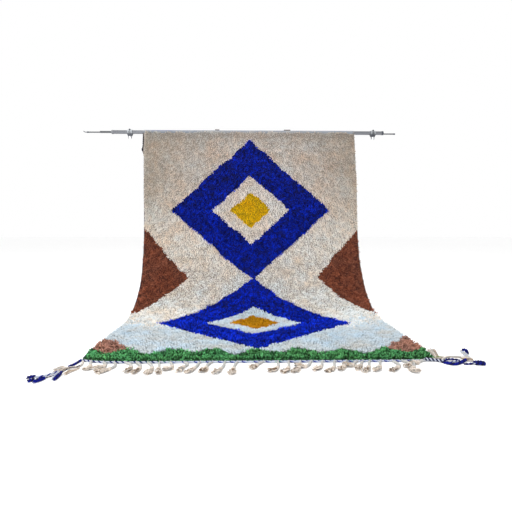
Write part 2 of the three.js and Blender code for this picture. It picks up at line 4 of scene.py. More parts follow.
import bmesh
import bpy
import numpy as np
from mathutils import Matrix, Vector


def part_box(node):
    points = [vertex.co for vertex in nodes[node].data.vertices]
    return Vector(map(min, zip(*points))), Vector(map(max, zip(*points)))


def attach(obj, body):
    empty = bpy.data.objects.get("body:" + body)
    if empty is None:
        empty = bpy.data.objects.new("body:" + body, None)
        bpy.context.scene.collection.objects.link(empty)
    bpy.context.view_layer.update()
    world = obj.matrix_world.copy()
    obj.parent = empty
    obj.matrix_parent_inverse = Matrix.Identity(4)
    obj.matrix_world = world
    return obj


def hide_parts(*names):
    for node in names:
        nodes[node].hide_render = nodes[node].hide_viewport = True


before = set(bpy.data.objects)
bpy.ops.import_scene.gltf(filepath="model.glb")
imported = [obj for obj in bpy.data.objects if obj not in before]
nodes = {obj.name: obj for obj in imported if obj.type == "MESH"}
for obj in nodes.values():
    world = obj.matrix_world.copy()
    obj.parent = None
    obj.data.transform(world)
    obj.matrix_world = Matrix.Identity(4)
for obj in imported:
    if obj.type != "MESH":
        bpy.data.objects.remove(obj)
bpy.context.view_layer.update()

# The pole's axis and the middle of the view give the place of everything below.
tubeLow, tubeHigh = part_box("main_tube")
middleFromEnd = 1.287
place = {
    "x": tubeLow.x + middleFromEnd,
    "y": (tubeLow.y + tubeHigh.y) / 2,
    "pole": (tubeLow.z + tubeHigh.z) / 2,
}


# Places across the rug, forward of the pole's axis and above the floor, as points of the part's frame.
def toFrame(across, forward, height):
    across, forward, height = np.broadcast_arrays(across, forward, height)
    return np.stack([place["x"] + across, place["y"] - forward, height], -1).astype(float)


# A new object in the scene.
def addObject(name, data):
    made = bpy.data.objects.new(name, data)
    bpy.context.scene.collection.objects.link(made)
    return made


# Camera and light
camera = {"height": 0.722, "forward": 3.797, "turn": 1.046, "lens": 28.125, "sensor": 36, "lift": -0.0496}

eye = bpy.data.cameras.new("eye")
eye.lens, eye.sensor_width, eye.shift_y = camera["lens"], camera["sensor"], camera["lift"]
eyeObject = addObject("eye", eye)
eyeObject.location = toFrame(0, camera["forward"], camera["height"])
eyeObject.rotation_euler = (math.pi / 2, 0, -math.radians(camera["turn"]))
bpy.context.scene.camera = eyeObject
bpy.context.scene.view_settings.view_transform = "Standard"

studio = {
    "sky": 1.0,
    "lamps": [
        {"name": "overhead", "at": (-0.9, 1.2, 6.5), "aim": (0, 0.8, 0.2), "size": 2.2, "power": 235},
        {"name": "frontFill", "at": (-1.5, 5.4, 1.2), "aim": (0, 0.1, 1.0), "size": 1.6, "power": 140},
    ],
}


# A square lamp at one place that faces another.
def addLamp(name, at, aim, size, power):
    lamp = bpy.data.lights.new(name, "AREA")
    lamp.size, lamp.energy = size, power
    lampObject = addObject(name, lamp)
    lampObject.location = toFrame(*at)
    away = Vector(toFrame(*at) - toFrame(*aim))
    lampObject.rotation_euler = away.to_track_quat("Z", "Y").to_euler()


for lamp in studio["lamps"]:
    addLamp(**lamp)
sky = bpy.data.worlds.new("sky")
sky.use_nodes = True
sky.node_tree.nodes["Background"].inputs["Color"].default_value = (1, 1, 1, 1)
sky.node_tree.nodes["Background"].inputs["Strength"].default_value = studio["sky"]
bpy.context.scene.world = sky
print("camera and light")


# Shader maths: a wire is an output of a node, and sums on it add Math nodes.
class Wire:
    def __init__(self, tree, socket):
        self.tree, self.socket = tree, socket

    # Any node: its type, settings that are set first, then values or wires for its sockets.
    def node(self, kind, settings=None, sockets=None, out=0):
        made = self.tree.nodes.new(kind)
        for name, value in (settings or {}).items():
            if name == "stops":
                ramp = made.color_ramp.elements
                while len(ramp) < len(value):
                    ramp.new(0.5)
                for element, (at, colour) in zip(ramp, value):
                    element.position, element.color = at, colour
            else:
                setattr(made, name, value)
        for name, value in (sockets or {}).items():
            if isinstance(value, Wire):
                self.tree.links.new(value.socket, made.inputs[name])
            else:
                made.inputs[name].default_value = value
        return Wire(self.tree, made.outputs[out])

    def maths(self, operation, *values):
        return self.node("ShaderNodeMath", {"operation": operation}, dict(enumerate(values)))

    def __add__(self, other):
        return self.maths("ADD", self, other)

    __radd__ = __add__

    def __sub__(self, other):
        return self.maths("SUBTRACT", self, other)

    def __rsub__(self, other):
        return self.maths("SUBTRACT", other, self)

    def __mul__(self, other):
        return self.maths("MULTIPLY", self, other)

    __rmul__ = __mul__

    def __truediv__(self, other):
        return self.maths("DIVIDE", self, other)

    def __rtruediv__(self, other):
        return self.maths("DIVIDE", other, self)

    def __mod__(self, other):
        return self.maths("FLOORED_MODULO", self, other)

    def __abs__(self):
        return self.maths("ABSOLUTE", self)

    def __lt__(self, other):
        return self.maths("LESS_THAN", self, other)

    def __gt__(self, other):
        return self.maths("GREATER_THAN", self, other)


# Two colours mixed by a share, or joined in another way, such as multiplied.
def blendColours(share, first, second, way="MIX"):
    wire = next(x for x in (share, first, second) if isinstance(x, Wire))
    settings = {"data_type": "RGBA", "blend_type": way}
    return wire.node("ShaderNodeMix", settings, {0: share, 6: first, 7: second}, 2)


# A linear colour from the 0 to 255 numbers of a picture.
def colourOf(red, green, blue):
    share = np.array([red, green, blue]) / 255
    linear = np.where(share < 0.04045, share / 12.92, ((share + 0.055) / 1.055) ** 2.4)
    return (*linear.tolist(), 1.0)


# A colour made darker or lighter.
def shadeOf(colour, share):
    return (*(part * share for part in colour[:3]), 1.0)


# A material, its first wire and its surface shader.
def newMaterial(name, **sockets):
    material = bpy.data.materials.new(name)
    material.use_nodes = True
    surface = material.node_tree.nodes["Principled BSDF"]
    for socket, value in sockets.items():
        surface.inputs[socket.replace("_", " ")].default_value = value
    return material, Wire(material.node_tree, None), surface


# Wires go into the surface shader's sockets. A low line in a name stands for a space.
def plug(material, surface, **wires):
    for socket, wire in wires.items():
        material.node_tree.links.new(wire.socket, surface.inputs[socket.replace("_", " ")])


# A normal from a height of 0 to 1 that stands for a depth in metres.
def bumpOf(start, height, depth, strength=1.0):
    return start.node("ShaderNodeBump", None, {"Height": height, "Distance": depth, "Strength": strength})


# Soft random shares around a half, with so many waves to the metre.
def noiseOn(start, where, scale, detail=2.0):
    return start.node("ShaderNodeTexNoise", None, {"Vector": where, "Scale": scale, "Detail": detail})


# Colours, or greys where one number stands for all three, at stops from 0 to 1 of a wire.
def rampOf(wire, *stops):
    stops = [(at, (tone, tone, tone, 1.0) if np.isscalar(tone) else tone) for at, tone in stops]
    return wire.node("ShaderNodeValToRGB", {"stops": stops}, {0: wire})


# Places on the object itself.
def objectPlace(start):
    return start.node("ShaderNodeTexCoord", out=3)


# Lengths across and along the cloth, from its own map.
def clothPlace(start):
    spot = start.node("ShaderNodeUVMap", {"uv_map": "cloth"})
    return [start.node("ShaderNodeSeparateXYZ", None, {0: spot}, k) for k in (0, 1)]


# A mesh from arrays: faces is a list of arrays with one row of corners for each face.
def addPiece(name, points, faces, materials, tones=None, maps=None, faceSlots=None):
    mesh = bpy.data.meshes.new(name)
    corners = np.concatenate([rows.ravel() for rows in faces]).astype(np.int32)
    counts = np.concatenate([np.full(len(rows), rows.shape[1]) for rows in faces])
    starts = np.concatenate([[0], np.cumsum(counts)[:-1]]).astype(np.int32)
    mesh.vertices.add(len(points))
    mesh.vertices.foreach_set("co", np.asarray(points, np.float32).ravel())
    mesh.loops.add(len(corners))
    mesh.loops.foreach_set("vertex_index", corners)
    mesh.polygons.add(len(starts))
    mesh.polygons.foreach_set("loop_start", starts)
    mesh.update(calc_edges=True)
    for material in materials:
        mesh.materials.append(material)
    if faceSlots is not None:
        mesh.polygons.foreach_set("material_index", np.asarray(faceSlots, np.int32))
    mesh.polygons.foreach_set("use_smooth", np.ones(len(starts), bool))
    if tones is not None:
        layer = mesh.attributes.new("tone", "FLOAT_COLOR", "POINT")
        layer.data.foreach_set("color", np.asarray(tones, np.float32).ravel())
    for mapName, places in (maps or {}).items():
        mesh.uv_layers.new(name=mapName).uv.foreach_set("vector", places.astype(np.float32).ravel())
    made = addObject(name, mesh)
    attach(made, "root")
    return made


# Quads of a grid of rows and columns, with each corner's share of both ways. A closed way joins its last
# line to its first.
def gridFaces(rows, columns, closedRows=False, closedColumns=False):
    down, right = rows - (not closedRows), columns - (not closedColumns)
    i = np.arange(down)[:, None, None] + np.array([0, 0, 1, 1])
    j = np.arange(right)[None, :, None] + np.array([0, 1, 1, 0])
    i, j = (steps.reshape(-1, 4) for steps in np.broadcast_arrays(i, j))
    return i % rows * columns + j % columns, np.stack([i / down, j / right], -1)


# Eases from 0 to 1 between two values, as t squared times 3 - 2t.
def smoothStep(x, low, high):
    t = np.clip((x - low) / (high - low), 0, 1)
    return t * t * (3 - 2 * t)


# A soft random height from -1 to 1 for each place: random numbers on a lattice, eased between its points.
def softNoise(x, y, size, seed, count=96):
    lattice = np.random.default_rng(seed).uniform(-1, 1, (count, count))
    i, j = np.floor(x / size).astype(int), np.floor(y / size).astype(int)
    u, v = smoothStep(x / size - i, 0, 1), smoothStep(y / size - j, 0, 1)
    pick = lambda a, b: lattice[(i + a) % count, (j + b) % count]
    top = pick(0, 0) * (1 - u) + pick(1, 0) * u
    low = pick(0, 1) * (1 - u) + pick(1, 1) * u
    return top * (1 - v) + low * v


# The rug's drape: the solid's, with its edges trimmed by a few millimetres. Each row of edges is a length
# along the rug, with its left and right sides there. The corners that lie in front are drawn back.
rug = {
    "width": 2.0,
    "thickness": 0.025,
    "ground": 0.007,
    "web": 0.0025,
    "webInner": 0.018,
    "wrapTo": 285,
    "hang": {"drop": 0.697, "start": 0.057, "steps": 40},
    "sweep": {"reach": 0.793, "height": 0.93, "power": 2.53, "steps": 240},
    "frontEdge": 1.592,
    "draw": {"left": 0.050, "right": 0.017, "power": 12, "over": 0.42},
    "edges": [
        (0, -0.988, 0.997),
        (0.11, -0.989, 1.001),
        (0.165, -0.996, 1.003),
        (0.23, -0.983, 1.005),
        (0.45, -0.980, 1.013),
        (0.8, -0.975, 1.018),
        (1.15, -0.970, 1.022),
        (1.45, -0.962, 1.031),
        (1.75, -0.961, 1.036),
        (2.0, -0.950, 1.048),
        (2.68, -0.947, 1.048),
        (3.0, -0.916, 1.016),
    ],
}
half = rug["thickness"] / 2
pileTop = rug["hang"]["drop"] + rug["sweep"]["height"] + half


# The middle layer seen from the side: a slight lean, a quarter superellipse, then the floor.
def drapeLine():
    hang, sweep = rug["hang"], rug["sweep"]
    t = np.arange(hang["steps"]) / hang["steps"]
    lean = rug["webInner"] + half
    hung = np.stack([lean + (hang["start"] - lean) * smoothStep(t, 0, 1), pileTop - t * hang["drop"]], 1)
    angle = np.linspace(0, np.pi / 2, sweep["steps"] + 1)
    across = 1 - np.cos(angle).clip(0) ** (2 / sweep["power"])
    down = np.sin(angle) ** (2 / sweep["power"])
    swept = np.stack([hang["start"] + sweep["reach"] * across, half + sweep["height"] * (1 - down)], 1)
    return np.concatenate([hung, swept, [[rug["frontEdge"], half]]])


drape = drapeLine()
drapeLengths = np.concatenate([[0], np.cumsum(np.linalg.norm(np.diff(drape, axis=0), axis=1))])
pileLength = drapeLengths[-1]


# Forward, height and the direction of the pile's tips at lengths along the rug: square to the line between
# two near stations.
def drapeAt(along, step=0.004):
    forwardAt, heightAt = (lambda length, k=k: np.interp(length, drapeLengths, drape[:, k]) for k in (0, 1))
    ahead, behind = np.minimum(along + step, pileLength), np.maximum(along - step, 0)
    runForward, runUp = (part(ahead) - part(behind) for part in (forwardAt, heightAt))
    size = np.hypot(runForward, runUp)
    return forwardAt(along), heightAt(along), -runUp / size, runForward / size


# The two sides at lengths along the rug, eased from row to row of the table.
def edgesAt(along):
    table = np.array(rug["edges"])
    row = np.clip(np.searchsorted(table[:, 0], along, "right") - 1, 0, len(table) - 2)
    t = smoothStep(along, table[row, 0], table[row + 1, 0])
    return [table[row, k] * (1 - t) + table[row + 1, k] * t for k in (1, 2)]


# How far the front is drawn back: by a high power of the way from the middle to a side.
def drawBack(share, along):
    draw = rug["draw"]
    side = 2 * share - 1
    amount = np.where(side < 0, draw["left"], draw["right"])
    return amount * abs(side) ** draw["power"] * smoothStep(along, pileLength - draw["over"], pileLength)


# A point at a share of the width, a length along the rug and an offset off its middle layer.
def rugPoint(share, along, offset):
    left, right = edgesAt(along)
    forward, height, outForward, outUp = drapeAt(along)
    return toFrame(
        left + (right - left) * share,
        forward + outForward * offset - drawBack(share, along),
        height + outUp * offset,
    )


# How far forward the pile's front edge lies at places across the rug.
def frontEdgeAt(across):
    left, right = edgesAt(pileLength)
    share = np.clip((across - left) / (right - left), 0, 1)
    return rug["frontEdge"] - drawBack(share, pileLength)


# Colours of the wool, linear from the numbers of a picture
wool = {
    "cream": colourOf(249, 236, 223),
    "ice": colourOf(202, 212, 218),
    "cobalt": colourOf(0, 34, 166),
    "chestnut": colourOf(132, 77, 58),
    "rust": colourOf(157, 117, 103),
    "mustard": colourOf(230, 187, 24),
    "ochre": colourOf(184, 129, 18),
    "green": colourOf(70, 131, 80),
}
# How much a yarn's tone varies, its painted shade between the tufts, and its painted light and shade down the
# rug.
woolDepth = {
    "cream": (0.55, 0.60, (0.70, 0.93, 0.99, 0.99)),
    "ice": (0.25, 0.80, (1.2, 1.2, 1.2, 0.98)),
    "cobalt": (4.6, 0.12, (0.79, 0.85, 1.08, 1.0)),
    "chestnut": (2.0, 0.20, (1.05, 1.05, 1.12, 1.2)),
    "rust": (1.9, 0.20, (1.0, 1.0, 1.0, 1.0)),
    "mustard": (0.8, 0.40, (1.0, 1.0, 1.0, 1.0)),
    "ochre": (0.9, 0.35, (1.0, 1.0, 1.0, 1.0)),
    "green": (4.0, 0.05, (1.0, 1.0, 1.0, 1.0)),
}
shadeAt = (0.3, 0.9, 1.5, 2.3)
# Painted light and shade on the cream yarn: its tone at lengths down the middle and down the sides, lighter down
# the middle of the hung part and darker and warmer towards its sides.
creamPaintedLight = {
    "middle": 1.04,
    "reach": 0.98,
    "power": 1.5,
    "rows": [
        (0.02, (0.98, 0.98, 0.99), (0.78, 0.78, 0.75)),
        (0.15, (1.17, 1.18, 1.21), (0.80, 0.80, 0.77)),
        (0.50, (1.19, 1.21, 1.26), (0.82, 0.82, 0.79)),
        (0.85, (1.06, 1.09, 1.13), (0.93, 0.94, 0.93)),
        (1.10, (1.00, 1.02, 1.03), (1.00, 1.02, 1.02)),
        (1.50, (0.96, 1.05, 1.12), (0.96, 1.05, 1.12)),
        (2.20, (0.96, 1.03, 1.08), (0.96, 1.03, 1.08)),
    ],
}
# The pattern is plain geometry: a pale field below a zigzag line, lozenges, and teeth along the front. A
# lozenge has its wool, its middle across and along the rug, and half its width and height.
design = {
    "field": {"from": 2.08, "period": 0.66, "reach": 0.16},
    "teeth": {"from": 2.76, "period": 0.25, "reach": 0.10},
    "lozenges": [
        ("chestnut", 0, 1.36, 0.42, 0.47),
        ("chestnut", 2.0, 1.36, 0.42, 0.47),
        ("rust", 0, 2.90, 0.46, 0.50),
        ("rust", 2.0, 2.90, 0.46, 0.50),
        ("cobalt", 1.0, 0.72, 0.74, 0.66),
        ("cream", 1.0, 0.72, 0.36, 0.32),
        ("mustard", 1.0, 0.72, 0.19, 0.17),
        ("cobalt", 1.0, 2.02, 0.74, 0.66),
        ("ice", 1.0, 2.02, 0.36, 0.32),
        ("ochre", 1.0, 2.02, 0.20, 0.18),
    ],
}


# Names of wools with the mask of each, the later ones on top. It works on arrays and on wires alike, and
# scatter blends the border of the two pale wools.
def pattern(across, along, scatter=0.0):
    def zigzag(value, period, reach):
        return abs(value % period / period - 0.5) * (2 * reach)

    def below(edge, loose=0.0):
        return (wavy + zigzag(across, edge["period"], edge["reach"]) + loose) > edge["from"]

    def lozenge(x, y, halfWidth, halfHeight):
        return (abs(ragged - x) / halfWidth + abs(along - y) / halfHeight) < 1

    ragged = across + zigzag(along, 0.143, 0.012) + zigzag(along, 0.391, 0.016) - 0.014
    wavy = along + zigzag(across, 0.23, 0.014) + zigzag(across, 0.61, 0.02) - 0.017
    lozenges = [(name, lozenge(*at)) for name, *at in design["lozenges"]]
    return [("ice", below(design["field"], scatter)), *lozenges, ("green", below(design["teeth"]))]


# The tone, contrast and painted root shade of the wool at places on the pile. The tone carries painted light
# and shade down the rug, and on the cream across it too.
def woolAt(across, along, scatter):
    names = list(wool)
    cream = names.index("cream")
    picked = np.full(across.shape, cream)
    for name, mask in pattern(across, along, scatter):
        picked[mask] = names.index(name)
    # Painted light and shade down the rug, by each wool's shares at the lengths of shadeAt.
    shade = np.array([np.interp(along, shadeAt, woolDepth[name][2]) for name in names])
    shade = np.take_along_axis(shade, picked[None], 0)[0]
    tone = np.array([wool[name][:3] for name in names])[picked] * shade[..., None]
    # Painted light and shade across the cream: lighter down the middle of the hung part, darker at its sides.
    shadeRowsAt, *wearAndShade = (np.array(column) for column in zip(*creamPaintedLight["rows"]))
    inMiddle, atSides = (np.stack([np.interp(along, shadeRowsAt, k) for k in rgb.T], -1) for rgb in wearAndShade)
    side = np.clip(abs(across - creamPaintedLight["middle"]) / creamPaintedLight["reach"], 0, 1) ** creamPaintedLight["power"]
    paintedLight = inMiddle * (1 - side[..., None]) + atSides * side[..., None]
    tone = np.where((picked == cream)[..., None], tone * paintedLight, tone)
    contrast, root = (np.array([woolDepth[name][k] for name in names])[picked] for k in (0, 1))
    return tone, contrast, root


# Wool yarn in pile or cord: its tone is on the mesh, and fine fibres make it darker and lighter and rough.
def woolYarn(name, shine, fibres, tones, grain, depth, strength):
    material, start, surface = newMaterial(name, Roughness=1.0, Specular_IOR_Level=shine)
    where = objectPlace(start)
    shade = rampOf(noiseOn(start, where, *fibres), (0.3, tones[0]), (0.7, tones[1]))
    tone = start.node("ShaderNodeAttribute", {"attribute_name": "tone"})
    bump = bumpOf(start, noiseOn(start, where, *grain), depth, strength)
    plug(material, surface, Base_Color=blendColours(1.0, tone, shade, "MULTIPLY"), Normal=bump)
    return material


# The back shows each knot as a pair of small beads in its colour, with thin weft lines between the rows.
def knottedBack():
    knot = {"width": 0.0095, "row": 0.0115, "weft": 0.26, "waver": (0.012, 0.020), "depth": 0.003}
    # Shares for the weft's colour and for the grey below: painted shade by bead height, its base, and random
    # tone.
    tones = {"weft": 0.55, "light": 0.42, "dark": 0.40, "knots": 0.22, "patches": 0.30}
    material, start, surface = newMaterial("knottedBack", Roughness=0.95)
    across, along = clothPlace(start)
    where = objectPlace(start)
    waver = noiseOn(start, where, 5, 3) - 0.5
    across, along = across + waver * knot["waver"][0], along + waver * knot["waver"][1]
    inWidth, inRow = across % knot["width"], along % knot["row"]
    cell = start.node("ShaderNodeCombineXYZ", None, {0: across - inWidth, 1: along - inRow})
    cell = start.node("ShaderNodeVectorMath", {"operation": "SCALE"}, {0: cell, "Scale": 1000.0})
    lot = start.node("ShaderNodeTexWhiteNoise", None, {"Vector": cell})
    colour = wool["cream"]
    for name, mask in pattern(across - inWidth, along - inRow):
        colour = blendColours(mask, colour, wool[name])
    bead = 1 - abs((inWidth / knot["width"] * 2) % 1 * 2 - 1)
    rowShare = inRow / knot["row"]
    isWeft = rowShare < knot["weft"]
    fromMiddle = abs((rowShare - knot["weft"]) / (1 - knot["weft"]) * 2 - 1)
    height = isWeft * 0.25 * bead + (1 - isWeft) * (bead * 0.5 + 0.5) * (1 - fromMiddle * fromMiddle * 0.8)
    colour = blendColours(isWeft * tones["weft"], colour, colourOf(176, 166, 150))
    patches = noiseOn(start, where, 7, 3) - 0.5
    # The grey is painted shade, darker low in each bead and in the weft lines, with random tone for each knot
    # and patch.
    shadow = height * tones["light"] + tones["dark"] + (lot - 0.5) * tones["knots"]
    shadow = shadow + patches * tones["patches"]
    grey = start.node("ShaderNodeCombineColor", None, {0: shadow, 1: shadow, 2: shadow})
    colour = blendColours(1.0, colour, grey, "MULTIPLY")
    plug(material, surface, Base_Color=colour, Normal=bumpOf(start, height, knot["depth"]))
    return material


# Under the pile the ground has the colours of its knots, in shade.
def groundFace(shade=0.3):
    material, start, surface = newMaterial("groundFace", Roughness=1.0)
    colour = shadeOf(wool["cream"], shade)
    for name, mask in pattern(*clothPlace(start)):
        colour = blendColours(mask, colour, shadeOf(wool[name], shade))
    grain = noiseOn(start, objectPlace(start), 300)
    plug(material, surface, Base_Color=colour, Normal=bumpOf(start, grain, 0.001))
    return material


# Plain weave of the thin end that is wound round the tube, with a few blue stitches in it: a thread goes
# over where both ways count odd or both even.
def wovenEnd():
    weave = {"pitch": 0.0042, "depth": 0.0009}
    stitches = {"at": 0.17, "halfLength": 0.085, "step": 0.0125, "length": 0.006}
    stitchRow = {"at": -0.028, "half": 0.0035}
    material, start, surface = newMaterial("wovenEnd", Roughness=0.9, Sheen_Weight=0.15)
    across, along = clothPlace(start)
    step = weave["pitch"]
    acrossRib, alongRib = (abs(way % step / step * 2 - 1) for way in (across, along))
    acrossOdd, alongOdd = ((way / step) % 2 > 1 for way in (across, along))
    over = acrossOdd * alongOdd + (1 - acrossOdd) * (1 - alongOdd)
    height = over * (1 - alongRib) + (1 - over) * (1 - acrossRib)
    greys = (0.3, colourOf(114, 120, 130)), (0.5, colourOf(125, 130, 138)), (0.72, colourOf(138, 138, 138))
    colour = rampOf(noiseOn(start, objectPlace(start), 14), *greys)
    inStretch = abs(across - stitches["at"]) < stitches["halfLength"]
    inRow = abs(along - stitchRow["at"]) < stitchRow["half"]
    stitch = inStretch * (across % stitches["step"] < stitches["length"]) * inRow
    colour = blendColours(stitch, colour, colourOf(52, 62, 120))
    plug(material, surface, Base_Color=colour, Normal=bumpOf(start, height, weave["depth"]))
    return material


pileMaterial = woolYarn("pileWool", 0.06, (420, 3), (0.86, 1.1), (900, 2), 0.0012, 0.6)
cordMaterial = woolYarn("cordWool", 0.15, (600, 3), (0.8, 1.08), (600, 3), 0.0008, 0.7)
groundMaterials = [knottedBack(), wovenEnd(), groundFace()]
print("wool materials")


# Ground cloth: knotted ground under the pile, and the thin woven end wound round the tube. In its baked map
# the side walls have narrow strips of their own.
ground = {
    "columns": 100,
    "rowLength": 0.018,
    "wrapStep": 7.5,
    "growsOver": 0.012,
    "mapWidth": 0.96,
    "sideStrips": (0.965, 0.985),
    "stripWidth": 0.014,
}


# The section in side view as stations with a centre, a direction towards the pile and a thickness.
def groundSection():
    angle = np.radians(np.arange(rug["wrapTo"], -0.1, -ground["wrapStep"]))
    radius = rug["webInner"] + rug["web"] / 2
    outward = np.stack([np.cos(angle), np.sin(angle)], 1)
    wound = outward * radius + [0, place["pole"]]
    drop = np.stack([np.full(3, radius), np.linspace(place["pole"] - 1e-3, pileTop + 1e-3, 3)], 1)
    along = np.linspace(0, pileLength, round(pileLength / ground["rowLength"]) + 1)
    forward, height, outForward, outUp = drapeAt(along)
    thick = rug["web"] + (rug["ground"] - rug["web"]) * smoothStep(along, -0.001, ground["growsOver"])
    out = np.stack([outForward, outUp], 1)
    laid = np.stack([forward, height], 1) + out * (thick / 2 - half)[:, None]
    centres = np.concatenate([wound, drop, laid])
    normals = np.concatenate([outward, np.tile([1.0, 0.0], (3, 1)), out])
    thickness = np.concatenate([np.full(len(wound) + 3, rug["web"]), thick])
    before = np.concatenate([wound, drop, laid[:1]])
    lead = np.concatenate([[0], np.cumsum(np.linalg.norm(np.diff(before, axis=0), axis=1))])
    lengths = np.concatenate([lead[:-1] - lead[-1], along])
    return centres, normals, thickness, lengths


# The section's back and front make a closed ring, which is carried across the rug, with a wall at each side.
def addGround():
    centres, normals, thickness, lengths = groundSection()
    back = centres - normals * thickness[:, None] / 2
    front = centres + normals * thickness[:, None] / 2
    ring = np.concatenate([back, front[::-1]])
    ringLength = np.concatenate([lengths, lengths[::-1]])
    rows, columns, count = len(ring), ground["columns"] + 1, len(lengths)
    share = np.linspace(0, 1, columns)[None, :]
    onPile = np.clip(ringLength, 0, pileLength)[:, None]
    left, right = edgesAt(onPile)
    points = toFrame(left + (right - left) * share, ring[:, :1] - drawBack(share, onPile), ring[:, 1:])
    skin = gridFaces(rows, columns, closedRows=True)[0]
    k = np.arange(count - 1)
    leftSide = np.stack([k, k + 1, rows - 2 - k, rows - 1 - k], 1) * columns
    rightSide = leftSide[:, ::-1] + columns - 1
    faces = np.concatenate([skin, leftSide, rightSide])
    rowOf, columnOf = faces // columns, faces % columns
    isWeb = ringLength[rowOf].mean(1) < 0
    isFront = (rowOf >= count).all(1) & ~isWeb
    cloth = np.stack([columnOf / ground["columns"] * rug["width"], ringLength[rowOf]], -1)
    wrapped = np.where((rowOf == 0) & (rowOf.max(1) == rows - 1)[:, None], rows, rowOf) / rows
    baked = np.stack([columnOf / ground["columns"] * ground["mapWidth"], wrapped], -1)
    for number, strip in enumerate(ground["sideStrips"]):
        here = slice(len(skin) + number * len(k), len(skin) + (number + 1) * len(k))
        onBack = rowOf[here] < count
        along = np.where(onBack, rowOf[here], rows - 1 - rowOf[here]) / count
        baked[here] = np.stack([strip + ground["stripWidth"] * onBack, along], -1)
    return addPiece("rug_ground", points.reshape(-1, 3), [faces], groundMaterials,
                    maps={"cloth": cloth, "OFBake": baked}, faceSlots=isWeb + 2 * isFront)


groundPiece = addGround()
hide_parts("rug_body")
print("ground cloth")


# The bound cord of each side. The left one's top stretch, its tail, is thicker and ends in a knot.
selvedge = {
    "radius": 0.0052,
    "step": 0.008,
    "pitch": 0.030,
    "tail": 0.165,
    "tailSwell": 0.35,
    "tailTone": 0.45,
    "tailOut": 0.003,
    "tailForward": 0.011,
    "knot": 0.55,
    "knotReach": 0.014,
    "outset": {"left": -0.0035, "right": 0.0},
}
# Pile: splayed tufts with a ring at the root, a wider ring near the tip and a point on top. They are
# ruffled under the pole, lie over the front edge, and are worn low at the left front corner.
pile = {
    "start": 0.0065,
    "end": 0.9995,
    "tailGap": 0.004,
    "spacing": 0.0086,
    "scatter": 0.3,
    "rootRadius": 0.0022,
    "tipRadius": 0.0042,
    "tipAt": 0.74,
    "length": 0.0255,
    "root": -0.0065,
    "lean": 0.62,
    "sway": 0.75,
    "clump": 0.030,
    "patch": 0.15,
    "topEdge": 0.05,
    "frontEdge": 0.018,
    "overEdge": 2.2,
    "wornHeight": 0.55,
    "wornLean": 0.6,
    "bands": 4,
}


# Tufts stand in rows, every other one half a step on, each moved a little at random: shares of the rug's
# width and lengths along it.
def tuftPlaces(lines, lineNumbers, perRow, jitter):
    column = np.arange(perRow)[None, :] + 0.5 * (lineNumbers % 2)[:, None] + 0.25
    share = np.clip((column + jitter(pile["scatter"])) / (perRow + 0.5), 0, 1)
    along = np.clip(lines[:, None] + jitter(pile["scatter"]) * pile["spacing"], 0.002, pileLength - 0.002)
    start = pile["start"] + pile["tailGap"] * smoothStep(along, selvedge["tail"] + 0.03, selvedge["tail"])
    return start + (pile["end"] - start) * share, along


# Each tuft's points: it leans down the rug and to the side by soft noise, which makes clumps, and its tip
# droops.
def tuftPoints(share, along, shag, lump, jitter, rng):
    x, y = share * rug["width"], along
    outForward, outUp = drapeAt(along)[2:]
    zero, side = np.zeros_like(along), np.array([1.0, 0, 0])
    out, down = np.stack([zero, -outForward, outUp], -1), np.stack([zero, -outUp, -outForward], -1)
    topEdge = smoothStep(along, pile["topEdge"], 0.004)
    frontEdge = smoothStep(along, pileLength - pile["frontEdge"], pileLength - 0.002)
    wearAndShade = smoothStep(along, pileLength - 0.18, pileLength - 0.03) * smoothStep(share, 0.08, 0.01)

    sway = pile["sway"] * shag
    leanDown = pile["lean"] + sway * softNoise(x, y, pile["clump"], 11)
    leanDown += 0.2 * softNoise(x, y, pile["patch"], 13) + jitter(0.35)
    ruffle = topEdge * (0.75 + 0.9 * softNoise(x, y, 0.04, 16) + 0.5 * softNoise(x, y, 0.014, 17))
    leanDown = leanDown * (1 - 0.5 * topEdge) - 1.15 * ruffle + pile["overEdge"] * frontEdge
    leanSide = sway * softNoise(x, y, pile["clump"], 12) + 0.35 * (share - 0.5) + jitter(0.45)
    nearSide = smoothStep(share, 0.988, 1) * 0.4 - smoothStep(share, 0.016, 0.004) * 0.15
    leanSide += nearSide + pile["wornLean"] * wearAndShade
    aim = out + leanDown[..., None] * down + leanSide[..., None] * side
    aim /= np.linalg.norm(aim, axis=-1, keepdims=True)
    rise = 1 + 0.12 * softNoise(x, y, 0.06, 14) + 0.20 * shag * lump + jitter(0.12)
    reach = pile["length"] * rise * (1 - pile["wornHeight"] * wearAndShade)
    first = np.cross(aim, side)
    first /= np.linalg.norm(first, axis=-1, keepdims=True)
    second = np.cross(aim, first)

    turn = rng.uniform(0, 2 * np.pi, along.shape)[..., None] + np.arange(3) * 2 * np.pi / 3
    around = np.cos(turn)[..., None] * first[..., None, :] + np.sin(turn)[..., None] * second[..., None, :]
    droop = down * (0.12 * reach * (1 - smoothStep(along, 0.028, 0.004)))[..., None]
    droop[..., 2] -= frontEdge * (1 - 0.7 * wearAndShade) * rng.uniform(0.004, 0.010, along.shape)
    tipRadius = pile["tipRadius"] * rng.uniform(0.78, 1.15, (*along.shape, 3))[..., None]
    root = rugPoint(share, along, pile["root"])[..., None, :]
    stem, droop = (aim * reach[..., None])[..., None, :], droop[..., None, :]
    tipRing = root + stem * pile["tipAt"] + around * tipRadius + droop * 0.6
    rootRing, apex = root + around * pile["rootRadius"], root + stem + droop
    return np.concatenate([rootRing, tipRing, apex], -2).reshape(-1, 3)
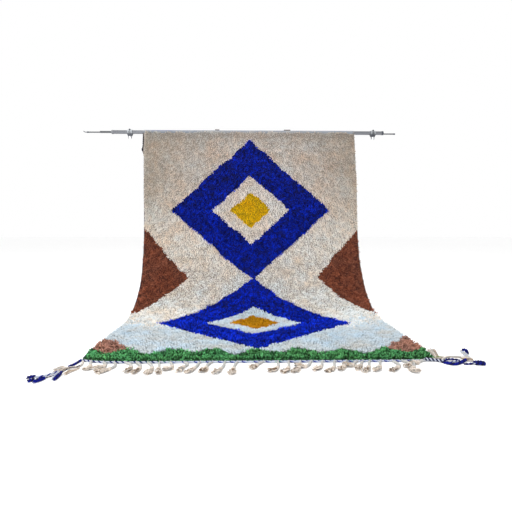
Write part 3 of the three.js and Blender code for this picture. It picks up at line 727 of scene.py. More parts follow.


# Each tuft's tones: its wool's, varied from tuft to tuft and over patches, with painted shade at the root and
# along the top edge, a painted highlight at the tip and a faint painted sheen.
def tuftTones(x, y, tone, contrast, low, lump, jitter, rng):
    shade = 0.06 * softNoise(x, y, 0.05, 21) + 0.11 * softNoise(x, y, 0.018, 22) + 0.12 * lump + jitter(0.20)
    shade = np.maximum(1 + contrast * shade, 0.15)
    warm = 0.06 * softNoise(x, y, 0.11, 23) + 0.05 * softNoise(x, y, 0.03, 24)
    tone = tone * shade[..., None] * np.stack([1 + 0.2 * warm, 1 - warm, 1 - 2 * warm], -1)
    # A small random grey lift on each tuft, larger in wools that vary more: a painted sheen on the fibres.
    tone += (contrast * rng.uniform(0, 0.0025, y.shape))[..., None]
    # Painted shade along the pile's top edge, just below the pole.
    tone *= (1 - 0.25 * smoothStep(y, 0.035, 0.005))[..., None]
    # Painted shade at the root ring, where shade falls between the tufts, and a painted highlight at the point.
    depth = np.stack([low] * 3 + [np.full(y.shape, 0.92)] * 3 + [np.full(y.shape, 1.16)], -1)
    tones = np.clip(tone[..., None, :] * depth[..., None], 0, 1).reshape(-1, 3)
    return np.column_stack([tones, np.ones(len(tones))])


# One band of the pile. A tuft has three sides in two rings and a pointed top, and a cell of the baked map.
def addPile(name, lines, lineNumbers, seed):
    rng = np.random.default_rng(seed)
    perRow = round(rug["width"] / pile["spacing"])
    shape = (len(lines), perRow)
    jitter = lambda size: rng.uniform(-size, size, shape)
    share, along = tuftPlaces(lines, lineNumbers, perRow, jitter)
    x, y = share * rug["width"], along
    tone, contrast, low = woolAt(x + jitter(0.004), y + jitter(0.004), jitter(0.16))
    contrast = contrast * (1 + 0.5 * smoothStep(along, 1.0, 0.1))
    shag = np.clip(0.45 + 0.35 * contrast, 0.5, 1.4)
    lump = softNoise(x + 0.6 * y, 0.55 * (y - 0.6 * x), 0.0125, 15)
    points = tuftPoints(share, along, shag, lump, jitter, rng)
    tones = tuftTones(x, y, tone, contrast, low, lump, jitter, rng)

    walls = [[0, 1, 4], [0, 4, 3], [1, 2, 5], [1, 5, 4], [2, 0, 3], [2, 3, 5]]
    tuft = np.array(walls + [[3, 4, 6], [4, 5, 6], [5, 3, 6]])
    faces = (tuft + 7 * np.arange(share.size)[:, None, None]).reshape(-1, 3)
    cellAcross = np.array([0.15, 0.5, 0.85, 0.15, 0.5, 0.85, 0.5])
    cellAlong = np.array([0.1, 0.1, 0.1, 0.7, 0.7, 0.7, 0.9])
    row, column = np.indices(shape)[..., None]
    baked = np.stack([(column + cellAcross) / perRow, (row + cellAlong) / len(lines)], -1).reshape(-1, 2)
    return addPiece(name, points, [faces], [pileMaterial], tones=tones, maps={"OFBake": baked[faces]})


pileRows = np.arange(0.004, pileLength - 0.002, pile["spacing"])
for number, block in enumerate(np.array_split(np.arange(len(pileRows)), pile["bands"])):
    addPile(f"pile_{number + 1}", pileRows[block], block, 100 + number)
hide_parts("rug_body")


# A smooth line through points, centripetal, with its own evenly spaced stations.
def smoothPath(points, count):
    p = np.asarray(points, float)
    p = np.concatenate([[2 * p[0] - p[1]], p, [2 * p[-1] - p[-2]]])
    fine = []
    for k in range(1, len(p) - 2):
        q = p[k - 1:k + 3]
        t = np.concatenate([[0], np.cumsum(np.linalg.norm(np.diff(q, axis=0), axis=1) ** 0.5)])
        s = np.linspace(t[1], t[2], 24, endpoint=False)[:, None]
        mixed = lambda a, b, ta, tb: a * (tb - s) / (tb - ta) + b * (s - ta) / (tb - ta)
        a = [mixed(q[i], q[i + 1], t[i], t[i + 1]) for i in range(3)]
        b = [mixed(a[i], a[i + 1], t[i], t[i + 2]) for i in range(2)]
        fine.append(mixed(b[0], b[1], t[1], t[2]))
    fine = np.concatenate([*fine, p[-2:-1]])
    length = np.concatenate([[0], np.cumsum(np.linalg.norm(np.diff(fine, axis=0), axis=1))])
    at = np.linspace(0, length[-1], count)
    return np.stack([np.interp(at, length, way) for way in fine.T], 1)


# The level direction across a path, at each of its stations.
def acrossOf(path):
    level = np.cross(np.gradient(path, axis=0), [0, 0, 1.0])
    return level / np.maximum(np.linalg.norm(level, axis=1, keepdims=True), 1e-9)


# Collects strands, each a closed tube round a path, and makes one piece of them. Each has its own strip of
# the baked map, with its length from left to right and its two end caps in the strip's ends.
class Strands:
    def __init__(self):
        self.points, self.faces, self.tones, self.places, self.count = [], [], [], [], 0

    # path: stations; radius: one number each; tone: one colour each; flat squeezes the tube's height.
    def add(self, path, radius, tone, sides=6, flat=1.0, floor=True):
        path = np.asarray(path, float)
        count = len(path)
        radius = np.broadcast_to(radius, count)
        run = np.gradient(path, axis=0)
        run /= np.maximum(np.linalg.norm(run, axis=1, keepdims=True), 1e-9)
        right = np.cross(run, [0, 0, 1.0])
        short = np.linalg.norm(right, axis=1) < 0.15
        right[short] = np.cross(run[short], [0, 1.0, 0])
        right /= np.linalg.norm(right, axis=1, keepdims=True)
        up = np.cross(right, run)
        turn = np.arange(sides) * 2 * np.pi / sides
        ring = np.cos(turn)[None, :, None] * right[:, None] + np.sin(turn)[None, :, None] * up[:, None] * flat
        points = path[:, None] + ring * radius[:, None, None]
        ends = np.stack([path[0], path[-1]])
        if floor:
            points[..., 2] = np.maximum(points[..., 2], 0.0004)
            ends[:, 2] = np.maximum(ends[:, 2], 0.0004)
        tone = np.broadcast_to(tone, (count, 4)) if np.ndim(tone) < 2 else np.asarray(tone)
        tube, shares = gridFaces(count, sides, closedColumns=True)
        j, last = np.arange(sides), count * sides
        around = np.stack([j, j + 1], 1)
        startCap = np.column_stack([np.full(sides, last), around % sides])
        endCap = np.column_stack([np.full(sides, last + 1), (around % sides + last - sides)[:, ::-1]])
        capAt = np.column_stack([np.full(sides, 0.5), around / sides])
        startAt = np.stack([np.broadcast_to([0, 0.018, 0.018], capAt.shape), capAt], -1)
        endAt = np.stack([np.broadcast_to([1, 0.982, 0.982], capAt.shape), capAt[:, [0, 2, 1]]], -1)
        shares = shares * [0.96, 1] + [0.02, 0]
        self.points += [points.reshape(-1, 3), ends]
        for order in ([2, 1, 0], [3, 2, 0]):
            self.faces.append(self.count + tube[:, order])
            self.places.append((shares[:, order], len(self.points)))
        self.faces += [self.count + startCap, self.count + endCap]
        self.places += [(startAt, len(self.points)), (endAt, len(self.points))]
        self.tones += [np.repeat(tone, sides, 0), tone[[0, -1]]]
        self.count += count * sides + 2

    # Plies that wind round a path: tones gives one for each ply, and the pitch may change along it.
    def twist(self, path, radius, tones, pitch, sides=6, phase=0.0, share=0.5):
        path = np.asarray(path, float)
        radius = np.broadcast_to(radius, len(path))
        turns = np.cumsum(np.linalg.norm(np.gradient(path, axis=0), axis=1) / pitch)
        right = acrossOf(path)
        for k, tone in enumerate(tones):
            turn = 2 * np.pi * (turns + k / len(tones)) + phase
            centre = path + right * (np.cos(turn) * radius * share)[:, None]
            centre[:, 2] += np.sin(turn) * radius * share
            self.add(centre, radius * (1.02 - share), tone, sides)

    def piece(self, name, slot, material):
        points, tones = np.concatenate(self.points), np.concatenate(self.tones)
        strips = len(self.points) // 2
        baked = [at * [1, 0.9 / strips] + [0, (number / 2 - 0.95) / strips] for at, number in self.places]
        return addPiece(name, points, [np.concatenate(self.faces)], [material], tones=tones,
                        maps={"OFBake": np.concatenate(baked)})


yarn = {
    # The white yarn is grey rather than white: painted shade for the front cord under the pile's edge.
    "white": colourOf(172, 178, 191),
    "blue": colourOf(8, 18, 112),
    "paleBlue": colourOf(120, 134, 180),
    "denim": colourOf(12, 20, 92),
    "navy": colourOf(14, 16, 58),
    "stem": colourOf(178, 177, 174),
    "head": colourOf(204, 193, 182),
    "tan": colourOf(166, 148, 130),
    "brown": colourOf(116, 94, 76),
    "grey": colourOf(126, 118, 112),
    "moss": colourOf(118, 130, 86),
}


# Colours of yarns, one in each row.
def toneRow(*names):
    return np.array([yarn[name] for name in names])


# A yarn's colour made darker or lighter, and tinted.
def yarnTone(name, shade, tint=(1, 1, 1)):
    return np.array(yarn[name]) * [*(shade * part for part in tint), 1]


# The twined cord along the front edge, and its tassels. Each tassel has its root on the cord, and the
# places of its bend, its knot and its tip on the floor.
frontCord = {
    "left": -0.929,
    "right": 1.025,
    "step": 0.0031,
    "radius": 0.0060,
    "pitch": -0.0325,
    "phase": 0.55,
    "change": -0.45,
    "gap": 0.0195,
}
tasselTable = [
    (-0.865, (-0.838, 1.666), (-0.829, 1.707), (-0.852, 1.733)),
    (-0.792, (-0.757, 1.665), (-0.772, 1.688), (-0.808, 1.710)),
    (-0.732, (-0.705, 1.673), (-0.722, 1.725), (-0.778, 1.778)),
    (-0.674, (-0.626, 1.658), (-0.613, 1.722), (-0.627, 1.780)),
    (-0.613, (-0.568, 1.682), (-0.571, 1.737), (-0.583, 1.793)),
    (-0.551, (-0.503, 1.697), (-0.503, 1.753), (-0.511, 1.803)),
    (-0.487, (-0.472, 1.684), (-0.462, 1.748), (-0.450, 1.798)),
    (-0.428, (-0.402, 1.683), (-0.412, 1.722), (-0.446, 1.718)),
    (-0.354, (-0.325, 1.656), (-0.343, 1.698), (-0.358, 1.770)),
    (-0.266, (-0.276, 1.694), (-0.294, 1.742), (-0.318, 1.786)),
    (-0.199, (-0.220, 1.672), (-0.224, 1.724), (-0.246, 1.780)),
    (-0.131, (-0.134, 1.690), (-0.151, 1.740), (-0.177, 1.802)),
    (-0.062, (-0.077, 1.692), (-0.080, 1.740), (-0.086, 1.810)),
    (0.079, (0.057, 1.646), (0.038, 1.684), (0.004, 1.720)),
    (0.158, (0.156, 1.692), (0.136, 1.740), (0.093, 1.772)),
    (0.218, (0.208, 1.712), (0.191, 1.760), (0.158, 1.788)),
    (0.281, (0.266, 1.704), (0.246, 1.750), (0.214, 1.784)),
    (0.341, (0.317, 1.680), (0.286, 1.702), (0.241, 1.672)),
    (0.402, (0.386, 1.688), (0.366, 1.724), (0.323, 1.748)),
    (0.469, (0.446, 1.710), (0.426, 1.746), (0.384, 1.776)),
    (0.534, (0.513, 1.664), (0.497, 1.708), (0.458, 1.760)),
    (0.592, (0.560, 1.668), (0.543, 1.692), (0.505, 1.664)),
    (0.624, (0.604, 1.664), (0.581, 1.714), (0.549, 1.748)),
    (0.662, (0.634, 1.698), (0.612, 1.746), (0.578, 1.782)),
    (0.722, (0.694, 1.693), (0.674, 1.737), (0.638, 1.771)),
    (0.787, (0.800, 1.688), (0.766, 1.736), (0.720, 1.775)),
    (0.841, (0.862, 1.648), (0.857, 1.681), (0.822, 1.713)),
    (0.968, (0.930, 1.630), (0.908, 1.651), (0.884, 1.628)),
    (0.905, (0.871, 1.708), (0.838, 1.767), (0.874, 1.798)),
]
tassel = {
    "stations": 61,
    "stemEnd": 0.56,
    "stemRadius": 0.0080,
    "stemPitch": 0.024,
    "hitchYarn": 0.0024,
    "knotAt": 0.60,
    "knotRadius": 0.0105,
    "knotYarn": 0.0048,
    "hairs": 20,
    "hairRadius": 0.0030,
    "width": 0.032,
    "height": 0.019,
    "curls": 7,
    "curlYarn": 0.0026,
    "yarns": ("head", "head", "tan", "stem", "brown", "head"),
}


# Of three plies one turns blue in each round at the left. Further on it does so in every other round, with
# its neighbour pale blue.
def addFrontCord(strands):
    cord = frontCord
    x = np.arange(cord["left"], cord["right"], cord["step"])
    path = toFrame(x, frontEdgeAt(x) + cord["gap"], cord["radius"])
    atLeft = (x < cord["change"])[:, None]
    plies = []
    for number, (leftName, name) in enumerate((("denim", "blue"), ("white", "paleBlue"), ("white", "white"))):
        turn = np.floor((x - cord["left"]) / abs(cord["pitch"]) + cord["phase"] - number / 3)
        tones = np.where((turn % 2 < 1)[:, None], yarn[name], yarn["white"])
        plies.append(np.where(atLeft, yarn[leftName], tones))
    strands.twist(path, cord["radius"], plies, cord["pitch"], 6)


# A stem of two plies, thinner at its root, and a hitch of yarn round the front cord.
def addStem(strands, path, rng):
    stem = path[:round((len(path) - 1) * tassel["stemEnd"]):2].copy()
    swell = (0.6 + 0.45 * smoothStep(np.linspace(0, 1, len(stem)), 0, 0.35)) * tassel["stemRadius"]
    stem[:, 2] = swell
    plies = [yarnTone("stem", 1), yarnTone("stem", 0.88)]
    strands.twist(stem, swell, plies, tassel["stemPitch"], 5, rng.uniform(0, 6))
    turn = np.linspace(0, 2 * np.pi, 14)
    hitch = np.stack([0.004 * np.sin(turn / 2), 0.0075 * np.cos(turn), 0.0062 + 0.0062 * np.sin(turn)], 1)
    strands.add(path[0] + hitch, tassel["hitchYarn"], yarn["stem"], 5)


# A knot of two turns across the stem.
def addKnot(strands, path, at, rng):
    run, across = path[at + 2] - path[at - 2], acrossOf(path)[at]
    run /= np.linalg.norm(run)
    turn, forward = np.linspace(0, 4 * np.pi, 30)[:, None], np.linspace(-1, 1, 30)[:, None]
    reach = tassel["knotRadius"] * rng.uniform(0.9, 1.1)
    loop = path[at] + across * (np.cos(turn) * reach * 0.78) + run * (forward * 0.0075)
    loop[:, 2:] = 0.0092 + 0.0046 * np.sin(turn)
    strands.add(loop, tassel["knotYarn"], yarnTone("head", 0.9), 6)


# A head of loose hairs that fan out from the knot, and short curls between them. Each hair has its own turn
# round the middle, so that it lies to a side, high or low.
def addHead(strands, path, rng):
    t, level, thick = np.linspace(0, 1, len(path)), acrossOf(path), tassel["hairRadius"]
    width, height = tassel["width"] * rng.uniform(0.85, 1.15), tassel["height"] * rng.uniform(0.9, 1.1)
    pick = lambda at: [np.stack([np.interp(at, t, way) for way in line.T], -1) for line in (path, level)]
    for k in range(tassel["hairs"]):
        along = np.linspace(0, rng.uniform(0.5, 1.0), 9)
        hair, sideways = pick(along)
        turn = 2.4 * k + rng.uniform(-0.4, 0.4)
        out = math.sqrt((k + 0.5) / tassel["hairs"])
        full = smoothStep(along, -0.3, 0.45) * (1.0 + 0.1 * smoothStep(along, 0.5, 1))
        curl = 0.0052 * np.sin(along * rng.uniform(8, 18) + rng.uniform(0, 6)) * smoothStep(along, 0.05, 0.5)
        hair += sideways * (math.cos(turn) * out * full * (width / 2 - thick) + curl)[:, None]
        rise = 0.5 + 0.5 * math.sin(turn) * out
        hair[:, 2] = thick + (height - 2 * thick) * full * rise + abs(curl) * 0.8
        # Painted shade: hairs low on the head are darker and those on top lighter, times a random tone.
        shade = rng.uniform(0.62, 1.12) * (0.66 + 0.42 * rise)
        tone = yarnTone(tassel["yarns"][rng.integers(len(tassel["yarns"]))], shade)
        strands.add(hair, thick * (1.05 - 0.35 * along**3), tone, 4)
    for k in range(tassel["curls"]):
        middle, sideways = pick(rng.uniform(0.2, 0.9))
        middle = middle + sideways * rng.uniform(-0.5, 0.5) * width
        middle = middle + [0, 0, rng.uniform(0.005, height - 0.004)]
        turn = np.linspace(0, rng.uniform(3.6, 6), 9) + rng.uniform(0, 6)
        tilt = rng.uniform(0.2, 0.8)
        curl = np.stack([np.cos(turn), np.sin(turn) * tilt, np.sin(turn) * (1 - tilt)], 1)
        curl *= rng.uniform(0.0045, 0.0085)
        tone = yarnTone("head", rng.uniform(0.7, 1.05), (1, 0.98, 0.95))
        strands.add(middle + curl, tassel["curlYarn"], tone, 4)


fringe = Strands()
addFrontCord(fringe)
tasselRandom = np.random.default_rng(77)
for root, *places in tasselTable:
    onFloor = smoothPath([(root, frontEdgeAt(root) + frontCord["gap"]), *places], tassel["stations"])
    path = toFrame(*onFloor.T, 0)
    knotAt = round((len(path) - 1) * tassel["knotAt"])
    addStem(fringe, path, tasselRandom)
    addKnot(fringe, path, knotAt, tasselRandom)
    addHead(fringe, path[knotAt:], tasselRandom)
fringePiece = fringe.piece("front_cord_and_tassels", "cord_wool", cordMaterial)
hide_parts("fringe")
print("front cord and tassels", len(fringePiece.data.polygons), "triangles")


# Corner cords with their looped ends and loose locks. Each row has two sizes, its yarns and its path: places
# across and forward, and the height of the path's middle. The sizes are a twine's radius and pitch, a loop's
# width and its yarn's radius, and a lock's width and height.
corners = {
    "left": {
        "node": "left_corner_cord",
        "twines": [
            (0.0070, 0.050, ("blue", "blue", "navy"), [
                (-0.930, 1.565, 0.005), (-0.928, 1.581, 0.007), (-0.932, 1.618, 0.007),
                (-0.939, 1.651, 0.007), (-0.949, 1.668, 0.006)]),
            (0.0026, 0.030, ("white", "blue"), [
                (-0.946, 1.660, 0.004), (-0.957, 1.676, 0.004), (-0.972, 1.686, 0.004)]),
            (0.0060, 0.030, ("head", "stem", "head"), [
                (-0.906, 1.590, 0.006), (-0.897, 1.622, 0.006), (-0.893, 1.660, 0.007),
                (-0.906, 1.686, 0.008), (-0.936, 1.694, 0.008)]),
            (0.0030, 0.040, ("navy", "grey"), [
                (-0.889, 1.672, 0.012), (-0.900, 1.704, 0.013), (-0.928, 1.714, 0.014),
                (-0.932, 1.752, 0.012), (-0.946, 1.788, 0.006), (-0.970, 1.800, 0.004),
                (-0.984, 1.828, 0.005), (-0.994, 1.842, 0.006)]),
            (0.0058, 0.034, ("white", "blue", "white"), [
                (-0.966, 1.750, 0.008), (-0.984, 1.780, 0.008), (-1.004, 1.806, 0.007),
                (-1.025, 1.816, 0.007), (-1.050, 1.824, 0.007)]),
            (0.0062, 0.040, ("white", "white"), [
                (-0.960, 1.772, 0.008), (-0.955, 1.818, 0.007), (-0.949, 1.850, 0.006)]),
        ],
        "loops": [
            (0.020, 0.0058, ("blue", "navy"), [
                (-0.942, 1.764, 0.012), (-0.938, 1.812, 0.011), (-0.933, 1.864, 0.008)]),
            (0.022, 0.0058, ("navy", "blue"), [
                (-0.942, 1.770, 0.006), (-0.940, 1.812, 0.006), (-0.936, 1.854, 0.006)]),
            (0.022, 0.0068, ("blue", "navy"), [
                (-1.044, 1.820, 0.009), (-1.060, 1.824, 0.009), (-1.076, 1.834, 0.008)]),
            (0.026, 0.0062, ("blue", "blue"), [
                (-0.990, 1.836, 0.007), (-1.000, 1.860, 0.008), (-1.016, 1.890, 0.008)]),
            (0.018, 0.0050, ("navy", "blue"), [
                (-0.992, 1.840, 0.013), (-1.004, 1.860, 0.013), (-1.014, 1.882, 0.010)]),
            (0.020, 0.0064, ("blue", "navy"), [
                (-1.030, 1.856, 0.008), (-1.040, 1.868, 0.008), (-1.050, 1.877, 0.007)]),
        ],
        "locks": [
            (0.042, 0.018, ("head", "tan", "head", "stem"), [
                (-0.928, 1.698, 0.008), (-0.962, 1.708, 0.009), (-0.984, 1.722, 0.010),
                (-1.008, 1.732, 0.010)]),
            (0.018, 0.012, ("head", "head", "tan"), [
                (-0.878, 1.706, 0.007), (-0.898, 1.730, 0.007), (-0.914, 1.760, 0.008),
                (-0.917, 1.798, 0.007)]),
        ],
    },
    "right": {
        "node": "right_corner_cord",
        "twines": [
            (0.0084, -0.021, ("white", "navy"), [
                (0.972, 1.606, 0.013), (1.000, 1.606, 0.011), (1.034, 1.612, 0.009), (1.066, 1.632, 0.009)]),
            (0.0044, 0.030, ("white", "blue", "white"), [
                (1.024, 1.578, 0.005), (1.036, 1.592, 0.005), (1.050, 1.612, 0.005)]),
            (0.0088, 0.046, ("blue", "navy", "blue"), [
                (1.060, 1.630, 0.006), (1.074, 1.660, 0.007), (1.102, 1.672, 0.007), (1.144, 1.652, 0.007),
                (1.184, 1.620, 0.008), (1.200, 1.606, 0.009)]),
            (0.0062, 0.040, ("blue", "navy"), [
                (1.064, 1.630, 0.008), (1.084, 1.610, 0.009), (1.116, 1.597, 0.009), (1.146, 1.604, 0.008),
                (1.160, 1.622, 0.007)]),
            (0.0045, 0.030, ("white", "white", "blue"), [
                (1.070, 1.636, 0.006), (1.110, 1.632, 0.006), (1.160, 1.614, 0.006)]),
            (0.0056, 0.040, ("blue", "navy"), [
                (1.156, 1.668, 0.006), (1.182, 1.668, 0.006), (1.206, 1.668, 0.007)]),
            (0.0050, 0.030, ("white", "white"), [
                (1.200, 1.656, 0.006), (1.214, 1.664, 0.006), (1.224, 1.668, 0.006)]),
        ],
        "loops": [
            (0.050, 0.0086, ("blue", "navy"), [
                (1.216, 1.668, 0.009), (1.240, 1.660, 0.010), (1.268, 1.672, 0.009)]),
            (0.022, 0.0046, ("white", "blue"), [
                (1.222, 1.668, 0.006), (1.240, 1.662, 0.008), (1.258, 1.670, 0.006)]),
            (0.028, 0.0070, ("white", "stem"), [
                (1.232, 1.580, 0.010), (1.228, 1.545, 0.020), (1.218, 1.520, 0.029)]),
            (0.026, 0.0074, ("blue", "navy"), [
                (1.228, 1.520, 0.037), (1.249, 1.516, 0.035), (1.254, 1.526, 0.015)]),
        ],
        "locks": [
            (0.018, 0.013, ("head", "stem", "head"), [
                (1.058, 1.622, 0.008), (1.080, 1.592, 0.011), (1.118, 1.575, 0.014), (1.160, 1.572, 0.014),
                (1.200, 1.584, 0.012)]),
            (0.040, 0.021, ("head", "tan", "head"), [
                (1.186, 1.580, 0.010), (1.214, 1.598, 0.011), (1.246, 1.610, 0.011)]),
            (0.026, 0.026, ("stem", "grey", "tan"), [
                (1.058, 1.590, 0.008), (1.058, 1.556, 0.024), (1.050, 1.520, 0.040)]),
            (0.028, 0.026, ("grey", "stem", "head"), [
                (1.044, 1.590, 0.012), (1.040, 1.552, 0.028), (1.030, 1.514, 0.044)]),
            (0.026, 0.021, ("moss", "head", "moss"), [
                (1.024, 1.590, 0.008), (1.050, 1.582, 0.012), (1.094, 1.578, 0.011)]),
        ],
    },
}


# A loose lock: hairs that wind round a path within a flat oval, each with its own sway and end.
def addLock(strands, width, height, names, path, rng, hairs=16, thick=0.0025):
    t = np.linspace(0, 1, 25)
    base = toFrame(*smoothPath(path, len(t)).T)
    level = acrossOf(base)
    full = 0.35 + 0.65 * smoothStep(t, 0, 0.5) - 0.15 * smoothStep(t, 0.85, 1)
    for k in range(hairs):
        turn, out = 2.4 * k + 1.5 * t, math.sqrt((k + 0.5) / hairs)
        wander = 0.0022 * np.sin(t * rng.uniform(5, 11) + rng.uniform(0, 6)) * smoothStep(t, 0.1, 0.5)
        hair = base + level * (np.cos(turn) * out * full * (width / 2 - thick) + wander)[:, None]
        hair[:, 2] += np.sin(turn) * out * full * (height / 2 - thick) + wander
        keep = t <= rng.uniform(0.8, 1.0)
        tone = yarnTone(names[k % len(names)], rng.uniform(0.75, 1.08))
        strands.add(hair[keep][::2], 0.0027 * (1.05 - 0.4 * t[keep][::2] ** 2), tone, 4)


# A twined cord; the names give a yarn to each ply.
def addTwine(strands, radius, pitch, names, path, rng):
    line = toFrame(*smoothPath(path, 60).T)
    strands.twist(line, radius, toneRow(*names), pitch, 6, rng.uniform(0, 6))


# A looped end: thick yarn that runs out along one side of a line and back along the other.
def addLoop(strands, width, radius, names, path, rng, pitch=0.026):
    t = np.linspace(0, 1, 25)
    base = toFrame(*smoothPath(path, len(t)).T)
    full = np.sqrt(np.clip(1 - t**6, 0, 1)) * (0.4 + 0.6 * smoothStep(t, 0, 0.5))
    reach = acrossOf(base) * (full * (width / 2 - radius))[:, None]
    bight = np.concatenate([base + reach, (base - reach)[-2::-1]])
    strands.twist(bight, radius, toneRow(*names), pitch, 5, rng.uniform(0, 6))


# All cords, loops and locks of a corner, as one piece.
def addCorner(side, node, twines, loops, locks):
    rng = np.random.default_rng(len(side))
    strands = Strands()
    for add, rows in ((addTwine, twines), (addLoop, loops), (addLock, locks)):
        for row in rows:
            add(strands, *row, rng)
    piece = strands.piece(f"{side}_corner_yarn", "blue_cord", cordMaterial)
    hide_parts(node)
    return piece


cornerPieces = [addCorner(side, **corner) for side, corner in corners.items()]
print("corner cords")


# A bound cord along a side of the ground: two plies that change their yarn every five stations.
def addSelvedge(side, share, names):
    rng = np.random.default_rng(40 + int(share))
    along = np.arange(0.004, pileLength - 0.004, selvedge["step"])
    path = rugPoint(np.full_like(along, share), along, -half + selvedge["radius"] + 0.0004)
    tail = selvedge["tail"]
    isTail = (share < 0.5) * smoothStep(along, tail + 0.01, tail - 0.01)
    knot = np.exp(-(((along - tail) / selvedge["knotReach"]) ** 2)) * (share < 0.5)
    path[:, 0] += selvedge["outset"][side] * (1 if share == 1 else -1) - isTail * selvedge["tailOut"]
    path[:, 1] -= isTail * selvedge["tailForward"]
    swell = 1 + selvedge["tailSwell"] * isTail + selvedge["knot"] * knot
    picks = rng.integers(0, len(names), len(along) // 5 + 1).repeat(5)[: len(along)]
    tones = toneRow(*names)[np.where(isTail > 0.5, 0, picks)]
    tones[:, :3] *= (1 - (1 - selvedge["tailTone"]) * isTail)[:, None]
    strands = Strands()
    strands.twist(path, selvedge["radius"] * swell, [tones, tones * [0.8, 0.8, 0.8, 1]], selvedge["pitch"], 5)
    return strands.piece(f"{side}_selvedge", "cord_wool", cordMaterial)


selvedges = [
    addSelvedge("left", 0.0, ("navy", "grey", "navy")),
    addSelvedge("right", 1.0, ("grey", "stem", "grey")),
]
print("selvedges")


# Drawn metal of the tubes: fine streaks along them, and soft smudges that dull it.
def brushedMetal(name, tone, roughness):
    material, start, surface = newMaterial(name, Metallic=0.85)
    where = objectPlace(start)
    drawn = start.node("ShaderNodeMapping", None, {"Vector": where, "Scale": (3, 260, 260)})
    streak, smudge = noiseOn(start, drawn, 1.0, 4), noiseOn(start, where, 9, 3)
    colour = rampOf(streak, (0.3, shadeOf(tone, 0.82)), (0.7, shadeOf(tone, 1.12)))
    rough = (smudge - 0.5) * 0.25 + (streak - 0.5) * 0.1 + roughness
    plug(material, surface, Base_Color=colour, Roughness=rough, Normal=bumpOf(start, streak, 0.0002, 0.4))
    return material


# Rough cast metal whose underside is darker than its collar.
def castMetal():
    material, start, surface = newMaterial("castMetal", Metallic=0.6, Roughness=0.5)
    where = objectPlace(start)
    height = start.node("ShaderNodeSeparateXYZ", None, {0: where}, 2)
    grain = noiseOn(start, where, 350, 3)
    drop = (place["pole"] - height + (grain - 0.5) * 0.004) * 40 - 0.25
    colour = rampOf(drop, (0.1, colourOf(150, 154, 158)), (0.5, colourOf(74, 76, 82)))
    plug(material, surface, Base_Color=colour, Normal=bumpOf(start, grain, 0.0006, 0.5))
    return material


# Moulded plastic with a fine grain, worn lighter in patches.
def mouldedPlastic(name, tone, roughness):
    material, start, surface = newMaterial(name, Roughness=roughness, Specular_IOR_Level=0.4)
    where = objectPlace(start)
    colour = rampOf(noiseOn(start, where, 60, 3), (0.3, shadeOf(tone, 0.8)), (0.75, shadeOf(tone, 1.25)))
    plug(material, surface, Base_Color=colour, Normal=bumpOf(start, noiseOn(start, where, 500), 0.0003, 0.4))
    return material


tubeMetal = brushedMetal("brushedTube", colourOf(122, 124, 129), 0.42)
innerMetal = brushedMetal("innerTube", colourOf(98, 100, 103), 0.4)
uprightMetal = brushedMetal("paleUpright", colourOf(226, 228, 230), 0.35)
darkPlastic = mouldedPlastic("darkPlastic", colourOf(54, 58, 68), 0.5)
greyPlastic = mouldedPlastic("greyPlastic", colourOf(112, 114, 118), 0.5)
brownPlastic = mouldedPlastic("brownPlastic", colourOf(66, 55, 50), 0.55)
clampMetal = castMetal()


# Each corner of an outline is cut back and rounded over with three points.
def roundedOutline(outline, rounding, closed):
    made = []
    count = len(outline)
    for k, corner in enumerate(np.asarray(outline, float)):
        if not closed and k in (0, count - 1):
            made.append(corner)
            continue
        before, after = (np.asarray(outline[(k + step) % count], float) - corner for step in (-1, 1))
        ends = [corner + side * min(rounding / max(np.linalg.norm(side), 1e-9), 0.4) for side in (before, after)]
        made += [ends[0], 0.25 * ends[0] + 0.5 * corner + 0.25 * ends[1], ends[1]]
    return np.array(made)


# An outline of radii and places along an axis, carried round the axis. Lobes make its widest part wavy, and
# a hexagon's radius makes the round parts near it six-sided.
def addTurned(name, outline, at, axis, material, rounding, sides, closed=False, lobes=0, hexagon=0.0):
    outline = roundedOutline(outline, rounding, closed)
    axis = np.asarray(axis, float)
    first = np.cross(axis, [1.0, 0, 0] if abs(axis[0]) < 0.5 else [0, 0, 1.0])
    first /= np.linalg.norm(first)
    second = np.cross(axis, first)
    turn = np.arange(sides) * 2 * np.pi / sides
    radius = np.repeat(outline[:, :1], sides, 1)
    if lobes:
        wave = 1 - 0.045 * (1 + np.cos(lobes * turn))
        radius = np.where(radius > 0.8 * radius.max(), radius * wave, radius)
    if hexagon:
        wave = math.cos(math.pi / 6) / np.cos(turn % (np.pi / 3) - np.pi / 6)
        radius = np.where(abs(radius - hexagon) < hexagon * 0.25, radius * wave, radius)
    around = np.cos(turn)[:, None] * first + np.sin(turn)[:, None] * second
    points = np.asarray(at) + radius[..., None] * around + outline[:, 1, None, None] * axis
    faces, shares = gridFaces(len(outline), sides, closedRows=closed, closedColumns=True)
    made = addPiece(name, points.reshape(-1, 3), [faces], [material], maps={"OFBake": shares})
    cleanSkin(made.data)
    return made


# Doubles are merged, faces turned outwards and edges past 35 degrees kept crisp.
def cleanSkin(mesh, merge=1e-6):
    shell = bmesh.new()
    shell.from_mesh(mesh)
    bmesh.ops.remove_doubles(shell, verts=shell.verts, dist=merge)
    bmesh.ops.recalc_face_normals(shell, faces=shell.faces)
    shell.to_mesh(mesh)
    shell.free()
    mesh.set_sharp_from_angle(angle=math.radians(35))


# A tube with its wall, as long as the solid's.
def addTube(name, material, outer, wall):
    low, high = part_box(name)
    inner, length = outer - wall, high.x - low.x
    outline = [(outer, 0), (outer, length), (inner, length), (inner, 0)]
    at = (low.x, (low.y + high.y) / 2, (low.z + high.z) / 2)
    tube = addTurned(f"{name}_drawn", outline, at, (1, 0, 0), material, 0.0005, 64, closed=True)
    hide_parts(name)


